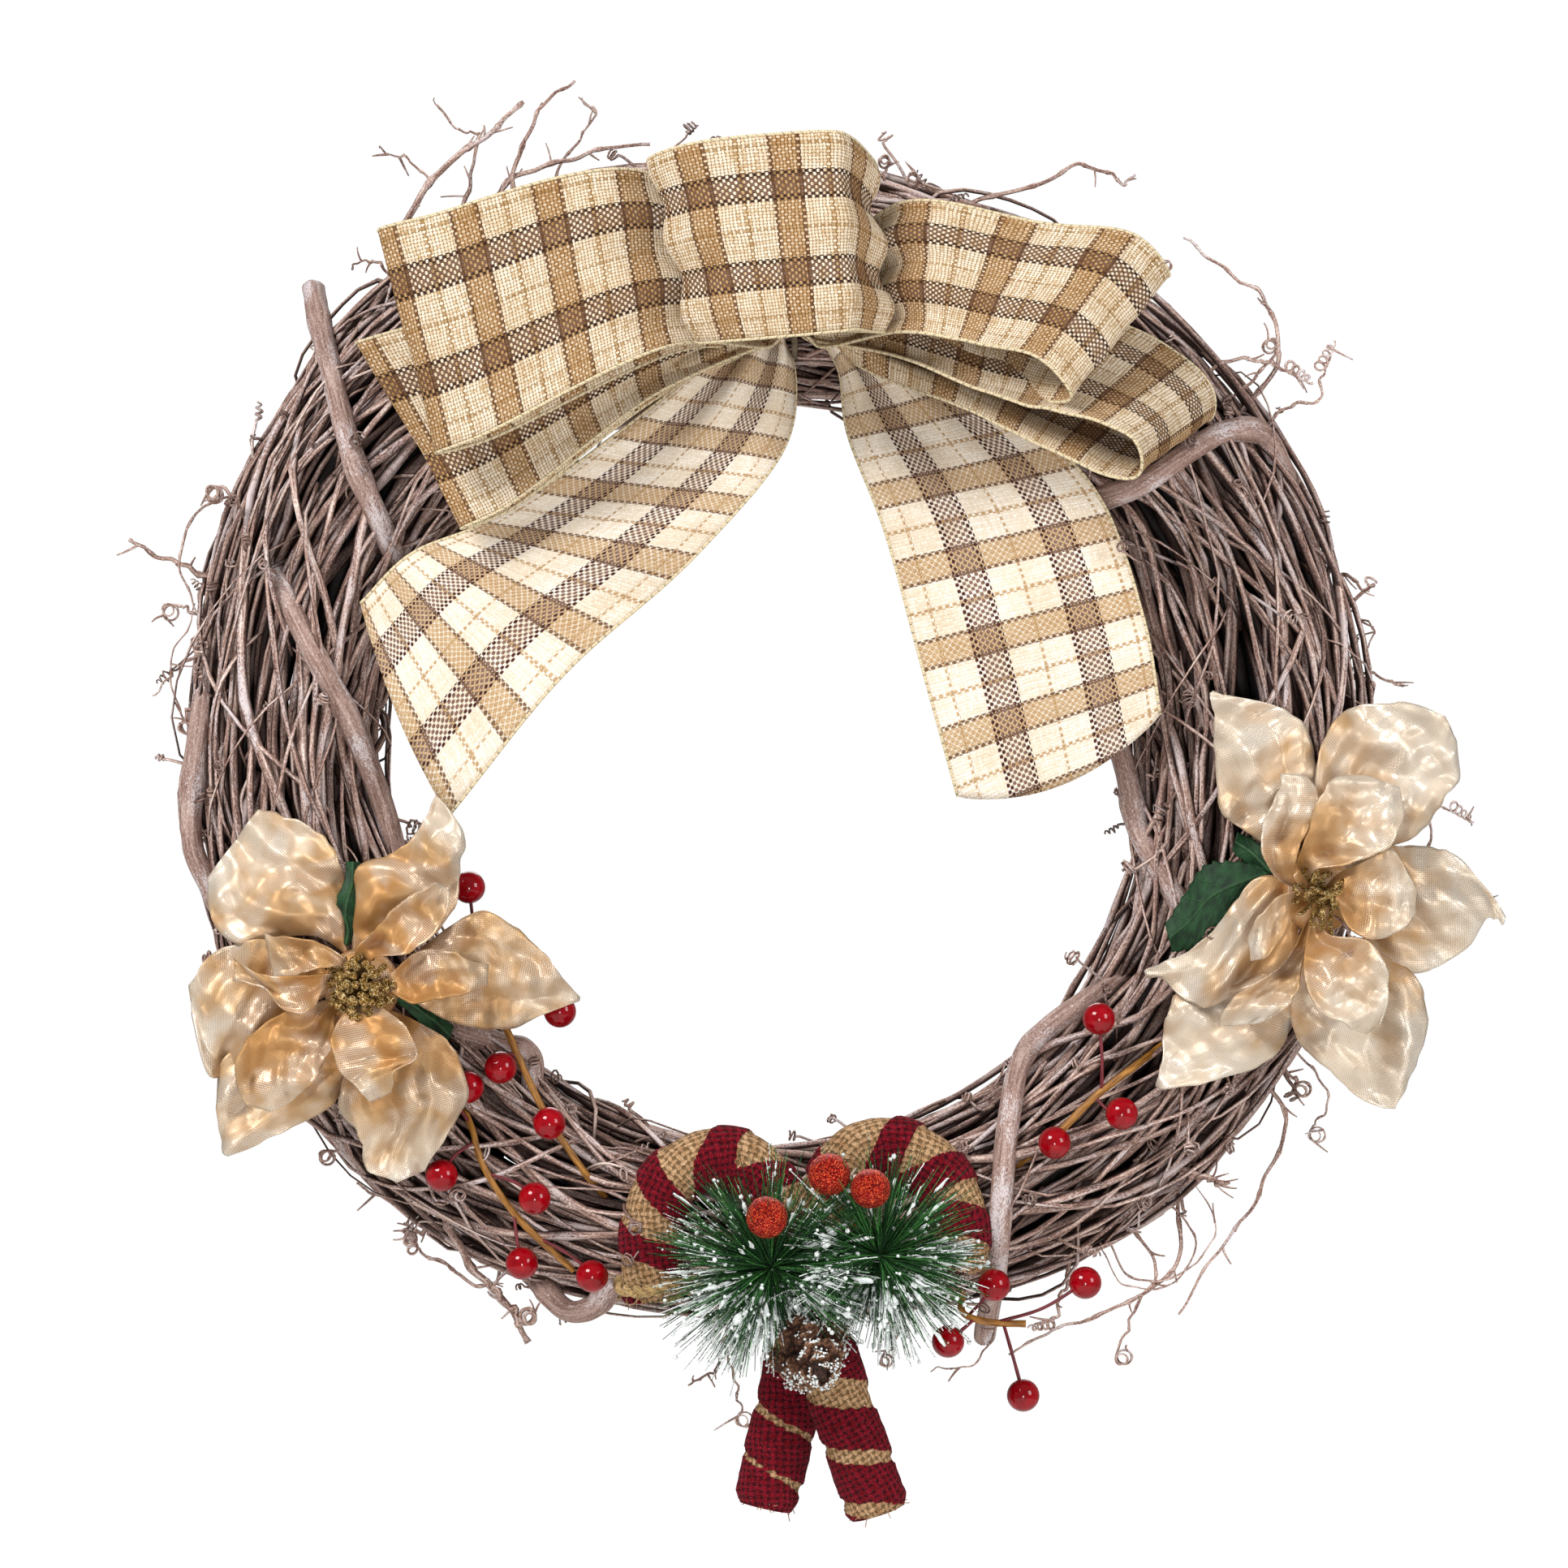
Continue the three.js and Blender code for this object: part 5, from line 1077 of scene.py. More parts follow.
champagne = gauze()
green_cloth = leaf_cloth()
for number, (name, flower) in enumerate(FLOWERS.items()):
    at = np.array(flower["at"], float)
    surfaces = [petal(rows, at, LONG_PETAL, 100 + 20 * number + i, flower["pale"])
                for i, rows in enumerate(flower["long"])]
    surfaces += [petal(rows, at, SHORT_PETAL, 110 + 20 * number + i, flower["pale"] - 0.15)
                 for i, rows in enumerate(flower["short"])]
    calyx = np.linspace(at + (0, 1, 0), at - (0, 9.5, 0), len(CALYX_RADII))
    surfaces.append(tubes(calyx[None], CALYX_RADII, CALYX_SIDES, -0.1))
    petals = make_piece(f"petals_{name}", surfaces, champagne, [f"poinsettia_{name}"])
    leaves = [leaf(rows, depths, 3 + i)
              for i, (rows, depths) in enumerate(zip(flower["leaves"], flower["leaf_depths"]))]
    green = make_piece(f"leaves_{name}", leaves, green_cloth, [f"poinsettia_leaves_{name}"])
    thicken(petals, PETAL_THICKNESS)
    thicken(green, PETAL_THICKNESS)

# The flowers' hearts are gold glitter on wire. The left one is a cushion of beads, and the right one a tuft
# of crooked stamens. Both are wired to the stub that goes back into the vines.
HEART_REACH = {"left": 10, "right": 12.5}
STAMENS = {"left": 58, "right": 20}
STAMEN_STEPS = 16
HEART_RIM = 15.5  # how far the outer tips stand forward of the flower's middle
HEART_DOME = 5.5  # how much further the middle ones stand
STUB_RADIUS = 3.4
GOLDEN_ANGLE = 2.399963  # radians, which spreads any number of things evenly round a middle


def balls(centres, radii, rows=8, columns=10, tone=1.0):
    """Balls at many centres: rings of points by latitude and longitude, with a point at each pole. A point's
    place is its offset from its own ball's centre, moved on from ball to ball."""
    centres = np.asarray(centres, float)
    radii = np.broadcast_to(np.asarray(radii, float), len(centres))
    latitude = np.linspace(0, np.pi, rows + 2)[1:-1, None]
    longitude = 2 * np.pi * np.arange(columns)[None] / columns
    shape = np.broadcast_arrays(np.sin(latitude) * np.cos(longitude), -np.cos(latitude),
                                np.sin(latitude) * np.sin(longitude))
    around_it = np.stack(shape, -1).reshape(-1, 3)
    around_it = np.concatenate([around_it, [[0, -1, 0], [0, 1, 0]]])
    faces = ring_faces(rows, columns, turned=True)
    offsets = radii[:, None, None] * around_it
    each = len(around_it) * np.arange(len(centres))[:, None, None]
    moved = 30.0 * np.arange(len(centres))[:, None, None] * np.array([1, 0, 0])
    return {
        "points": (centres[:, None] + offsets).reshape(-1, 3),
        "faces": np.where(faces < 0, -1, faces + each).reshape(-1, 4),
        "place": (offsets + moved).reshape(-1, 3),
        "tone": np.repeat(np.broadcast_to(np.asarray(tone, float), len(centres)), len(around_it)),
    }


def glitter(name, metal, dark, middle, light):
    """Glitter flakes glued on: cells of random brightness, each tilted its own way, with glue between."""
    made = Finish(name, Metallic=metal, Roughness=0.3)
    flakes = made.node("ShaderNodeTexVoronoi", {"Vector": made.place(), "Scale": 3.2})
    shade = made.node("ShaderNodeSeparateColor", {0: flakes["Color"]})
    made.paint(made.ramp(shade[0], (0.2, dark), (0.6, middle), (0.94, light)))
    height = made.plus(shade[1], made.times(flakes["Distance"], -0.8))
    made.relief(height, 0.6, 0.9)
    return made.material


gold_glitter = glitter("gold_glitter", 0.85, "5d3d14", "b98a38", "fff0b8")
for name, flower in FLOWERS.items():
    at = np.array(flower["at"], float)
    rng = np.random.default_rng(5 if name == "left" else 9)
    count = STAMENS[name]
    angle = GOLDEN_ANGLE * np.arange(count)
    reach = HEART_REACH[name] * np.sqrt((np.arange(count) + 0.5) / count)
    height = HEART_RIM + HEART_DOME * (1 - (reach / HEART_REACH[name]) ** 2) + 2 * rng.random(count)
    tips = at + np.stack([reach * np.cos(angle), -height, reach * np.sin(angle)], 1)
    tips = tips + rng.normal(0, 0.5, tips.shape)
    near = 0.3 * reach
    roots = at + np.stack([near * np.cos(angle), np.full(count, -10.5), near * np.sin(angle)], 1)
    t = np.linspace(0, 1, STAMEN_STEPS)[None, :, None]
    lines = roots[:, None] * (1 - t) + tips[:, None] * t
    stub = np.linspace(at + (0, -12, 0), at + (0, 4, 0), 4)
    surfaces = [tubes(stub[None], STUB_RADIUS, 10)]
    if name == "left":
        surfaces.append(tubes(lines, 0.5, 4))
        surfaces.append(balls(tips, 1.15 + 0.6 * rng.random(count)))
    else:
        crooked = smooth_noise(lines / 3.5, 8), smooth_noise(lines / 3.5 + 5, 10)
        bent = np.stack([crooked[0], 0.6 * smooth_noise(lines / 4 + 9, 9), crooked[1]], -1)
        lines = lines + 5.5 * bent * t * (1, 0.6, 1)
        lumps = 0.75 + 0.3 * smooth_noise(lines * 1.1, 11)
        surfaces.append(tubes(lines, lumps, 7))
    make_piece(f"heart_{name}", surfaces, gold_glitter, [f"stamens_{name}"])

# Berry picks: lacquered foam berries 10 mm across on thin dark red wires, which branch from an ochre stem.
# Each pick is pushed into the vines at both ends of its stem.
BERRY_RADIUS = 5
BERRY_GRID = (18, 28)
STEM_RADIUS = 1.1
BRANCH_RADIUS = 0.55
STEM_STEPS = 40
# The first line of a pick is its stem, and the others are its branches.
BERRY_PICKS = {
    "left_upper": {
        "stems": [
            [[-90, -16, -70], [-83, -26, -84], [-71, -29, -110], [-58, -25, -130], [-52, -16, -138]],
            [[-83, -26, -84], [-76, -27, -79], [-66, -26, -80]],
            [[-83, -26, -84], [-91, -25, -62], [-94, -24, -42]],
            [[-77, -27.5, -97], [-81, -29, -93], [-83, -29, -97]],
            [[-71, -29, -110], [-74, -31, -113], [-69, -31, -114]],
        ],
        "berries": [[-66, -26, -80], [-94, -23, -42], [-84, -31, -97], [-69, -32, -114]],
    },
    "left_lower": {
        "stems": [
            [[-98, -16, -106], [-93, -25, -116], [-90, -27, -126], [-80, -26.5, -142], [-62, -20, -160]],
            [[-92, -26, -120], [-98, -29, -124], [-102, -29, -130]],
            [[-88, -27, -130], [-80, -30, -132], [-73.5, -30, -136]],
            [[-80, -26.5, -142], [-79, -29, -150], [-77.5, -28, -157]],
            [[-72, -24, -150], [-64, -27, -154], [-56, -27, -160]],
            [[-94, -24, -114], [-97, -28, -108], [-94, -28, -103]],
        ],
        "berries": [[-102, -31, -130], [-73.5, -32, -137], [-77.5, -30, -157], [-56, -29, -161],
                    [-94, -30, -103]],
    },
    "right": {
        "stems": [
            [[120, -18, -90], [110, -27, -97], [98, -29, -106], [86, -28, -118], [74, -19, -128]],
            [[100, -29, -104], [100, -32, -94], [99, -32, -82]],
            [[98, -29, -106], [102, -32, -110], [106, -32, -111]],
        ],
        "berries": [[99, -33, -82], [106, -33, -111], [85.5, -31.5, -120]],
    },
    "bottom": {
        "stems": [
            [[58, -12, -166], [58, -22, -173], [66, -24, -175.5], [77, -24, -176]],
            [[68, -24, -175.5], [82, -27, -171], [95, -27, -163]],
            [[70, -24, -175.5], [73, -27, -186], [76, -27, -197]],
            [[62, -23, -174], [57, -26, -178], [53, -26, -181]],
            [[60, -22, -173], [64, -28, -168], [67, -28, -163]],
        ],
        "berries": [[95, -29, -163], [76, -29, -197.5], [53, -29, -181], [67, -32, -163.5]],
    },
}
lacquer = Finish("berry_lacquer", Roughness=0.06, Specular_IOR_Level=0.35)
mottle = lacquer.noise(lacquer.place((0.25, 0.25, 0.25)), 1.0, 2)
lacquer.paint(lacquer.ramp(mottle, (0.3, "7c000b"), (0.7, "9c0010")))
stem_paint = Finish("stem_paint", Roughness=0.55)
fibre = stem_paint.noise(stem_paint.place((1.5, 1.5, 0.15)), 1.5, 4)
ochre = stem_paint.ramp(fibre, (0.35, "6f4313"), (0.65, "b27a2c"))
oxblood = stem_paint.ramp(fibre, (0.35, "4a1218"), (0.65, "7d1f28"))
stem_paint.paint(stem_paint.mix(stem_paint.tone(), ochre, oxblood))
stem_paint.relief(fibre, 0.3, 0.6)
for name, pick in BERRY_PICKS.items():
    stems = []
    for i, points in enumerate(pick["stems"]):
        path = smooth_path(points, STEM_STEPS)
        lump = 1 + 0.12 * smooth_noise(path / 2.5, 20 + i)
        radii = (BRANCH_RADIUS if i else STEM_RADIUS) * lump
        stems.append(tubes(path[None], radii[None], 8, 1.0 if i else 0.0))
    make_piece(f"stems_{name}", stems, stem_paint.material, [f"berry_pick_{name}"])
    berries = balls(pick["berries"], BERRY_RADIUS, *BERRY_GRID)
    make_piece(f"berries_{name}", [berries], lacquer.material, [f"berry_pick_{name}"])

# The candy canes are padded wire rods bound with tan jute burlap, and over it a dark red burlap strip wound
# on a slant. The strips' edges are raw and frayed, and both ends are cut off square.
CANE_HALF_WIDTH = 10
CANE_FLATTEN = 0.66
CANE_STEPS = 250
CANE_SIDES = 44
STRIP_WIDTH = {"hook": 10.4, "leg": 13.4}
STRIP_THICKNESS = 1.1
STRIP_LEAD = 44  # of cane for the strip's two turns before the first red one that is given
STRIP_TRAIL = 60  # of cane for its three turns after the last one
SKIN_RADIUS = 8.4  # of a round rod with as much skin as the flattened one
FRAYED_FIBRES = 60
FIBRE_RADIUS = 0.16
BURLAP_PITCH = 2.0
BURLAP_SLANT = 0.2
# A cane's route runs from the end of its hook to the foot, and red is the x and z of each red turn in front.
CANES = {
    "left": {
        "route": [
            [-37.5, -27, -169], [-38.5, -27, -154], [-35.5, -27.5, -136], [-24, -28, -126],
            [-10, -29, -126], [0, -33, -136], [10.5, -42.5, -168], [20, -41, -198], [31.5, -37, -232.5],
        ],
        "red": [[-38.9, -152.6], [-37, -134.4], [-18.3, -125], [-3.9, -133], [3, -148], [9, -165],
                [15, -182.7], [23.6, -207], [28.2, -220.8]],
    },
    "right": {
        "route": [
            [56, -27, -160], [56, -27, -143], [50, -27, -129.5], [38, -27, -121.8], [26, -27, -122.8],
            [18, -27, -133.5], [10.5, -27, -168], [4, -26.5, -200], [-3.2, -26, -232],
        ],
        "red": [[55.9, -142.5], [50, -128.8], [34.5, -121.4], [17.5, -134.5], [13, -155], [9, -176],
                [3.2, -199], [0.5, -213.4], [-2.5, -227.7]],
    },
}


def cane(facts, seed):
    """A wound cane. The strip's phase passes a whole number at each place where red shows in front, and
    grows by one in each turn round the rod, as a screw's does. The radius stands a cloth's thickness higher
    where the phase is within half the strip's width of a whole number, measured on the skin, which is
    stretched outside a bend. The seam of the mesh is at the back."""
    steps, sides = CANE_STEPS, CANE_SIDES
    path = smooth_path(facts["route"], steps)
    far = distance_along(path)
    red_at = np.array(facts["red"])
    order = np.arange(len(red_at))
    near = np.hypot(path[None, :, 0] - red_at[:, :1], path[None, :, 2] - red_at[:, 1:]).argmin(1)
    knots = np.concatenate([[far[near[0]] - STRIP_LEAD], far[near], [far[near[-1]] + STRIP_TRAIL]])
    wound = np.interp(far, knots, np.concatenate([[-2], order, [len(order) + 2]]))
    smooth = np.convolve(np.pad(wound, 12, mode="reflect", reflect_type="odd"), np.ones(25) / 25, "valid")
    gap = 1 / np.gradient(smooth, far)[:, None]
    turn = 2 * np.pi * np.arange(sides) / sides
    share = (far / far[-1])[:, None]
    section = CANE_HALF_WIDTH * np.cos(turn), CANE_HALF_WIDTH * np.sin(turn)
    around_it = np.stack(np.broadcast_arrays(*section, far[:, None]), -1)
    rough = smooth_noise(around_it / 1.7, seed)
    slow = smooth_noise(around_it / 14, seed + 2)
    plain = tubes(path[None], CANE_HALF_WIDTH, sides, 0.0, CANE_FLATTEN)["points"]
    spokes = plain[: steps * sides].reshape(steps, sides, 3) - path[:, None]
    bend = np.gradient(unit(np.gradient(path, axis=0)), axis=0) / np.gradient(far)[:, None]
    stretch = 1 - (bend[:, None] * spokes).sum(-1)
    phase = smooth[:, None] + turn / (2 * np.pi) + 0.5
    off = np.abs(np.mod(phase + 0.5, 1) - 0.5) * gap * stretch + 0.5 * rough + 1.2 * slow
    wide = np.interp(share, [0.42, 0.6], [STRIP_WIDTH["hook"], STRIP_WIDTH["leg"]])
    red = np.clip(0.5 * wide - off + 0.5, 0, 1)
    end = np.minimum(1, 0.84 + 9 * np.minimum(share, 1 - share))
    bulge = 0.35 * smooth_noise(around_it / 9, seed + 1) + 0.16 * rough
    radii = (CANE_HALF_WIDTH - STRIP_THICKNESS + STRIP_THICKNESS * red + bulge) * end
    surface = tubes(path[None], radii[None], sides, 0.0, CANE_FLATTEN)
    across = np.broadcast_to(turn * SKIN_RADIUS, (steps, sides))
    flat = np.stack([across, np.broadcast_to(far[:, None], (steps, sides)), 0 * across], -1).reshape(-1, 3)
    surface["place"] = np.concatenate([flat, [[0, 0, 0], [0, far[-1], 0]]])
    surface["tone"] = np.concatenate([red.ravel(), [0, 0]])
    return surface, path


def frayed(path, radius, count, seed):
    """Loose fibres at both ends of a cane: short arcs that start on its skin and bend away at random."""
    rng = np.random.default_rng(seed)
    which = rng.integers(0, 2, count)
    ends = np.where(which[:, None] > 0, path[-1], path[0])
    ahead = np.where(which[:, None] > 0, unit(path[-1] - path[-6]), unit(path[0] - path[5]))
    side = unit(np.cross(ahead, [0, 1, 0]))
    angle = 2 * np.pi * rng.random((count, 1))
    spoke = radius * (np.cos(angle) * side + CANE_FLATTEN * np.sin(angle) * np.array([0, 1, 0]))
    roots = ends + spoke * rng.uniform(0.7, 0.98, (count, 1)) - 1.5 * ahead
    away = unit(ahead * rng.uniform(0.2, 1, (count, 1)) + unit(spoke) * 0.7 + rng.normal(0, 0.4, (count, 3)))
    t = np.linspace(0, 1, 7)[None, :, None]
    length = rng.uniform(1.2, 3.4, (count, 1, 1))
    sag = rng.normal(0, 0.25, (count, 1, 3)) * length
    fibres = roots[:, None] + length * t * away[:, None] + sag * t**2
    return tubes(fibres, FIBRE_RADIUS, 3, 0.0)


def burlap():
    """Coarse plain weave on the slant: fat threads both ways with dark holes, tan, or dark red where the tone
    is 1."""
    made = Finish("burlap", Roughness=0.95, Specular_IOR_Level=0.05, Sheen_Weight=0.04)
    lines = made.place_parts()
    wobble = made.times(made.noise(made.place((0.2, 0.2, 1)), 1.0, 2), 2.2)
    rise, run = np.sin(BURLAP_SLANT), np.cos(BURLAP_SLANT)
    first = made.plus(made.times(lines[0], run), made.times(lines[1], rise))
    second = made.minus(made.times(lines[1], run), made.times(lines[0], rise))
    first = made.plus(first, wobble)
    second = made.plus(second, wobble)
    over, furrow, hole = plain_weave(made, first, second, BURLAP_PITCH, 0.6)
    fuzz = made.noise(made.place(), 2.4, 4)
    uneven = made.noise(made.place((0.3, 0.3, 1)), 1.0, 3)
    tan = made.ramp(fuzz, (0.3, "a07c56"), (0.5, "be9872"), (0.72, "dcbe9a"))
    red = made.ramp(fuzz, (0.3, "520814"), (0.5, "780e1e"), (0.72, "98293a"))
    dyed = made.step(made.tone(), 0.35, 0.65)
    cloth = made.mix(dyed, tan, red)
    cloth = made.dim(cloth, made.ramp(uneven, (0.35, "d6cabd"), (0.6, "ffffff")))
    # painted shade: the furrows and holes darken to a deep colour, brown in the tan and near black in the red
    deep = made.mix(dyed, colour("6f5534"), colour("3a0711"))
    shaded = made.mix(made.times(furrow, 0.3), cloth, deep)
    shaded = made.mix(made.times(hole, 0.85), shaded, deep)
    made.paint(shaded)
    height = made.minus(1.0, made.times(furrow, 0.6))
    height = made.minus(made.plus(height, made.times(fuzz, 0.4)), hole)
    made.relief(height, 0.9, 0.9)
    return made.material


sacking = burlap()
for number, (name, facts) in enumerate(CANES.items()):
    surface, path = cane(facts, 70 + number)
    fibres = frayed(path, CANE_HALF_WIDTH - 1, FRAYED_FIBRES, 80 + number)
    make_piece(f"cane_{name}", [surface, fibres], sacking, [f"candy_cane_{name}"])

# The jute twine that ties the canes to the vines: two hairy strands laid together, knotted behind.
# It goes over the end of the left cane, and its tails are lost among the vines.
TWINE_PATH = [[-25, -14, -161], [-28, -29, -163], [-37.5, -35.3, -165], [-47, -29, -165], [-46, -9, -160]]
TWINE_STEPS = 120
TWINE_TURNS = 6  # of the two strands about each other
STRAND_RADIUS = 1.05
HAIRS = 110
HAIR_RADIUS = 0.13
line = smooth_path(TWINE_PATH, TWINE_STEPS)
ahead = unit(np.gradient(line, axis=0))
side = unit(np.cross(ahead, [0.3, 0.2, 1]))
third = np.cross(ahead, side)
lay = np.linspace(0, 2 * np.pi * TWINE_TURNS, TWINE_STEPS)[:, None]
plies = [line + 0.95 * (np.cos(lay + k) * side + np.sin(lay + k) * third) for k in (0, np.pi)]
jute = Finish("jute_twine", Roughness=0.95, Specular_IOR_Level=0.05, Sheen_Weight=0.2)
hair = jute.noise(jute.place((1.5, 1.5, 0.5)), 2.0, 4)
jute.paint(jute.ramp(hair, (0.3, "8d6b3c"), (0.5, "bd9a62"), (0.7, "e0c898")))
jute.relief(hair, 0.8)
rng = np.random.default_rng(33)
roots = line[rng.integers(20, 100, HAIRS)]
away = unit(rng.normal(0, 1, (HAIRS, 3)) - (0, 0.5, 0))
t = np.linspace(0, 1, 6)[None, :, None]
hairs = roots[:, None] + t * away[:, None] * rng.uniform(2.5, 6, (HAIRS, 1, 1))
hairs = hairs + t**2 * rng.normal(0, 1, (HAIRS, 1, 3))
strands = tubes(np.stack(plies), STRAND_RADIUS, 8)
make_piece("jute_tie", [strands, tubes(hairs, HAIR_RADIUS, 3)], jute.material, ["twine_tie"])

# Two sprays of artificial pine: green film needles held in a twisted wire, which faces the viewer.
# The tips of the needles and the lower ones are flocked with white snow powder.
PINES = {
    "left": {"x": -1, "z": -155.5, "reach": 36, "foot": [8, -46, -160], "cone": -1.15, "seed": 21},
    "right": {"x": 31.5, "z": -152, "reach": 33.5, "foot": [14, -46.5, -166], "cone": -2.06, "seed": 22},
}
NEEDLES = 1900
NEEDLE_STEPS = 5
NEEDLE_RADIUS = 0.24
SNOW_GRAINS = 600
SNOW_CLUMPS = 330
CLUMP_STEPS = 6
PINE_WIRE_STEPS = 24
PINE_WIRE_RADIUS = 1.4
PINE_BACK = -51  # the depth of the needles at the back of a spray
PINE_LENGTH = 15  # of the wire that holds needles


def needles(pine):
    """A spray's needles: from even places along the wire each leaves at a golden-angle turn, drawn a little
    towards one of nine bunches, leans forward more towards the wire's tip, and bends. Fewer stand upward.
    Those that head for the cone are short and lean back behind it. The tone is how much snow is on a
    needle."""
    rng = np.random.default_rng(pine["seed"])
    number = np.arange(NEEDLES)[:, None]
    a = GOLDEN_ANGLE * number + 0.2 * rng.normal(0, 1, (NEEDLES, 1))
    a = a + 0.1 * np.sin(9 * a + pine["seed"])
    upward = np.clip(np.sin(a), 0, 1)
    kept = rng.random((NEEDLES, 1)) > 0.62 * upward
    number, a, upward = (values[kept][:, None] for values in (number, a, upward))
    count = len(number)
    share = number / NEEDLES
    behind = np.exp(-(((np.mod(a - pine["cone"] + np.pi, 2 * np.pi) - np.pi) / 0.42) ** 2))
    tilt = (-0.12 + 0.85 * share**1.5 + 0.17 * rng.normal(0, 1, (count, 1))) * (1 - behind) - 0.2 * behind
    length = pine["reach"] * rng.uniform(0.55, 1.06, (count, 1)) * (1 - 0.1 * share) * (1 - 0.25 * behind)
    depth = PINE_BACK - PINE_LENGTH * share * (1 - 0.7 * behind)
    root = np.concatenate([pine["x"] + 0 * a, depth, pine["z"] + 0 * a], 1)
    out = np.concatenate([np.cos(a) * np.cos(tilt), -np.sin(tilt), np.sin(a) * np.cos(tilt)], 1)
    t = np.linspace(0, 1, NEEDLE_STEPS)[None, :, None]
    bow = rng.normal(0, 0.08, (count, 1, 3)) * (1, 0.6, 1) * length[:, None]
    paths = root[:, None] + length[:, None] * t * out[:, None] + bow * t**2
    low = 0.5 - 0.5 * np.sin(a)
    reach = np.linspace(0, 1, NEEDLE_STEPS)[None]
    snow = np.clip(1.4 * (reach - 1.06 + 0.42 * low + 0.24 * rng.normal(0, 1, (count, 1))), 0, 1)
    radii = NEEDLE_RADIUS * (1 - 0.5 * reach) * (1 + 0.8 * snow)
    return paths, radii, snow


def snow_clumps(paths, snow, seed):
    """Powder caked along some of the needles, mostly the snowier ones: lumpy sleeves over a part of the outer
    half, whose radius is a sine along them, times a noise."""
    rng = np.random.default_rng(seed)
    heavy = snow[:, 2:].sum(1) ** 1.5 + 0.02
    chosen = rng.choice(len(paths), SNOW_CLUMPS, p=heavy / heavy.sum())
    start = rng.uniform(0.45, 0.8, (SNOW_CLUMPS, 1))
    t = start + rng.uniform(0.1, 0.28, (SNOW_CLUMPS, 1)) * np.linspace(0, 1, CLUMP_STEPS)[None]
    knot = np.clip(t, 0, 1) * (NEEDLE_STEPS - 1)
    i = np.minimum(knot.astype(int), NEEDLE_STEPS - 2)
    part = (knot - i)[..., None]
    own = paths[chosen][np.arange(SNOW_CLUMPS)[:, None], i]
    following = paths[chosen][np.arange(SNOW_CLUMPS)[:, None], i + 1]
    lines = own * (1 - part) + following * part
    lines = lines + 0.5 * np.stack([smooth_noise(lines / 2 + k, seed + k) for k in (1, 5, 9)], -1)
    lumps = 1 + 0.9 * smooth_noise(lines / 1.2, seed)
    wide = rng.uniform(0.35, 1.0, (SNOW_CLUMPS, 1)) ** 1.3
    round_off = np.sin(np.linspace(0.25, np.pi - 0.25, CLUMP_STEPS))[None]
    return tubes(lines, wide * lumps * round_off, 5, 1.0)


def pine_film():
    """Green film that turns to white, grainy snow powder where the tone is high."""
    made = Finish("pine_film", Roughness=0.7, Specular_IOR_Level=0.3)
    fleck = made.noise(made.place((1.2, 1.2, 0.8)), 2.2, 3)
    strand = made.noise(made.place((0.02, 0.02, 0.02)), 1.0, 0)
    dark = made.ramp(fleck, (0.3, "06200c"), (0.5, "103a16"), (0.72, "2a672b"))
    bright = made.ramp(fleck, (0.3, "174a18"), (0.5, "2d722c"), (0.72, "74ad5c"))
    green = made.mix(made.step(strand, 0.5, 0.56), dark, bright)
    powder = made.ramp(fleck, (0.3, "bccbc6"), (0.55, "f2f5f3"))
    spotted = made.times(made.minus(fleck, 0.5), 1.6)
    share = made.step(made.plus(made.tone(), spotted), 0.3, 0.5)
    made.paint(made.mix(share, green, powder))
    made.relief(fleck, 0.4)
    return made.material


film = pine_film()
for name, pine in PINES.items():
    paths, radii, snow = needles(pine)
    rng = np.random.default_rng(pine["seed"] + 50)
    heavy = snow[:, 2:].sum(1) + 0.04
    chosen = rng.choice(len(paths), SNOW_GRAINS, p=heavy / heavy.sum())
    spot = paths[chosen, rng.integers(2, NEEDLE_STEPS, SNOW_GRAINS)] + rng.normal(0, 0.5, (SNOW_GRAINS, 3))
    depths = (PINE_BACK, PINE_BACK - 6, PINE_BACK - PINE_LENGTH)
    wire = smooth_path([pine["foot"], *([pine["x"], y, pine["z"]] for y in depths)], PINE_WIRE_STEPS)
    surfaces = [
        tubes(wire[None], PINE_WIRE_RADIUS, 8, 0.2),
        tubes(paths, radii, 3, snow),
        snow_clumps(paths, snow, pine["seed"] + 70),
        balls(spot, rng.uniform(0.3, 0.85, SNOW_GRAINS), 3, 5),
    ]
    make_piece(f"pine_{name}", surfaces, film, [f"pine_spray_{name}"])

# Three foam balls, rolled in glue and then in red glitter. Each is stuck on the end of a thin wire, which is
# twisted into a pine spray.
GLITTER_GRID = (40, 56)
STALK_STEPS = 12
STALK_RADIUS = 0.5
GLITTER_BERRIES = {
    "left": {"at": [-2.4, -80, -139.6], "radius": 6.2, "wire": [-1, -56, -154]},
    "middle": {"at": [16.3, -76, -127], "radius": 6.3, "wire": [29, -54, -151]},
    "right": {"at": [28.6, -80, -131], "radius": 5.9, "wire": [31, -56, -150]},
}
red_glitter = glitter("red_glitter", 0.6, "6a0305", "c00808", "ff6a3a")
for number, (name, berry) in enumerate(GLITTER_BERRIES.items()):
    at, end = np.array(berry["at"], float), berry["wire"]
    ball = balls([at], berry["radius"], *GLITTER_GRID)
    bumps = 1 + 0.035 * smooth_noise(ball["place"] / 0.8, number)
    ball["points"] = at + (ball["points"] - at) * bumps[:, None]
    path = smooth_path([at, [at[0], end[1] - 3, at[2] - 3], end], STALK_STEPS)
    stalk = tubes(path[None], STALK_RADIUS, 6)
    make_piece(f"glitter_ball_{name}", [ball, stalk], red_glitter, [f"glitter_berry_{name}"])

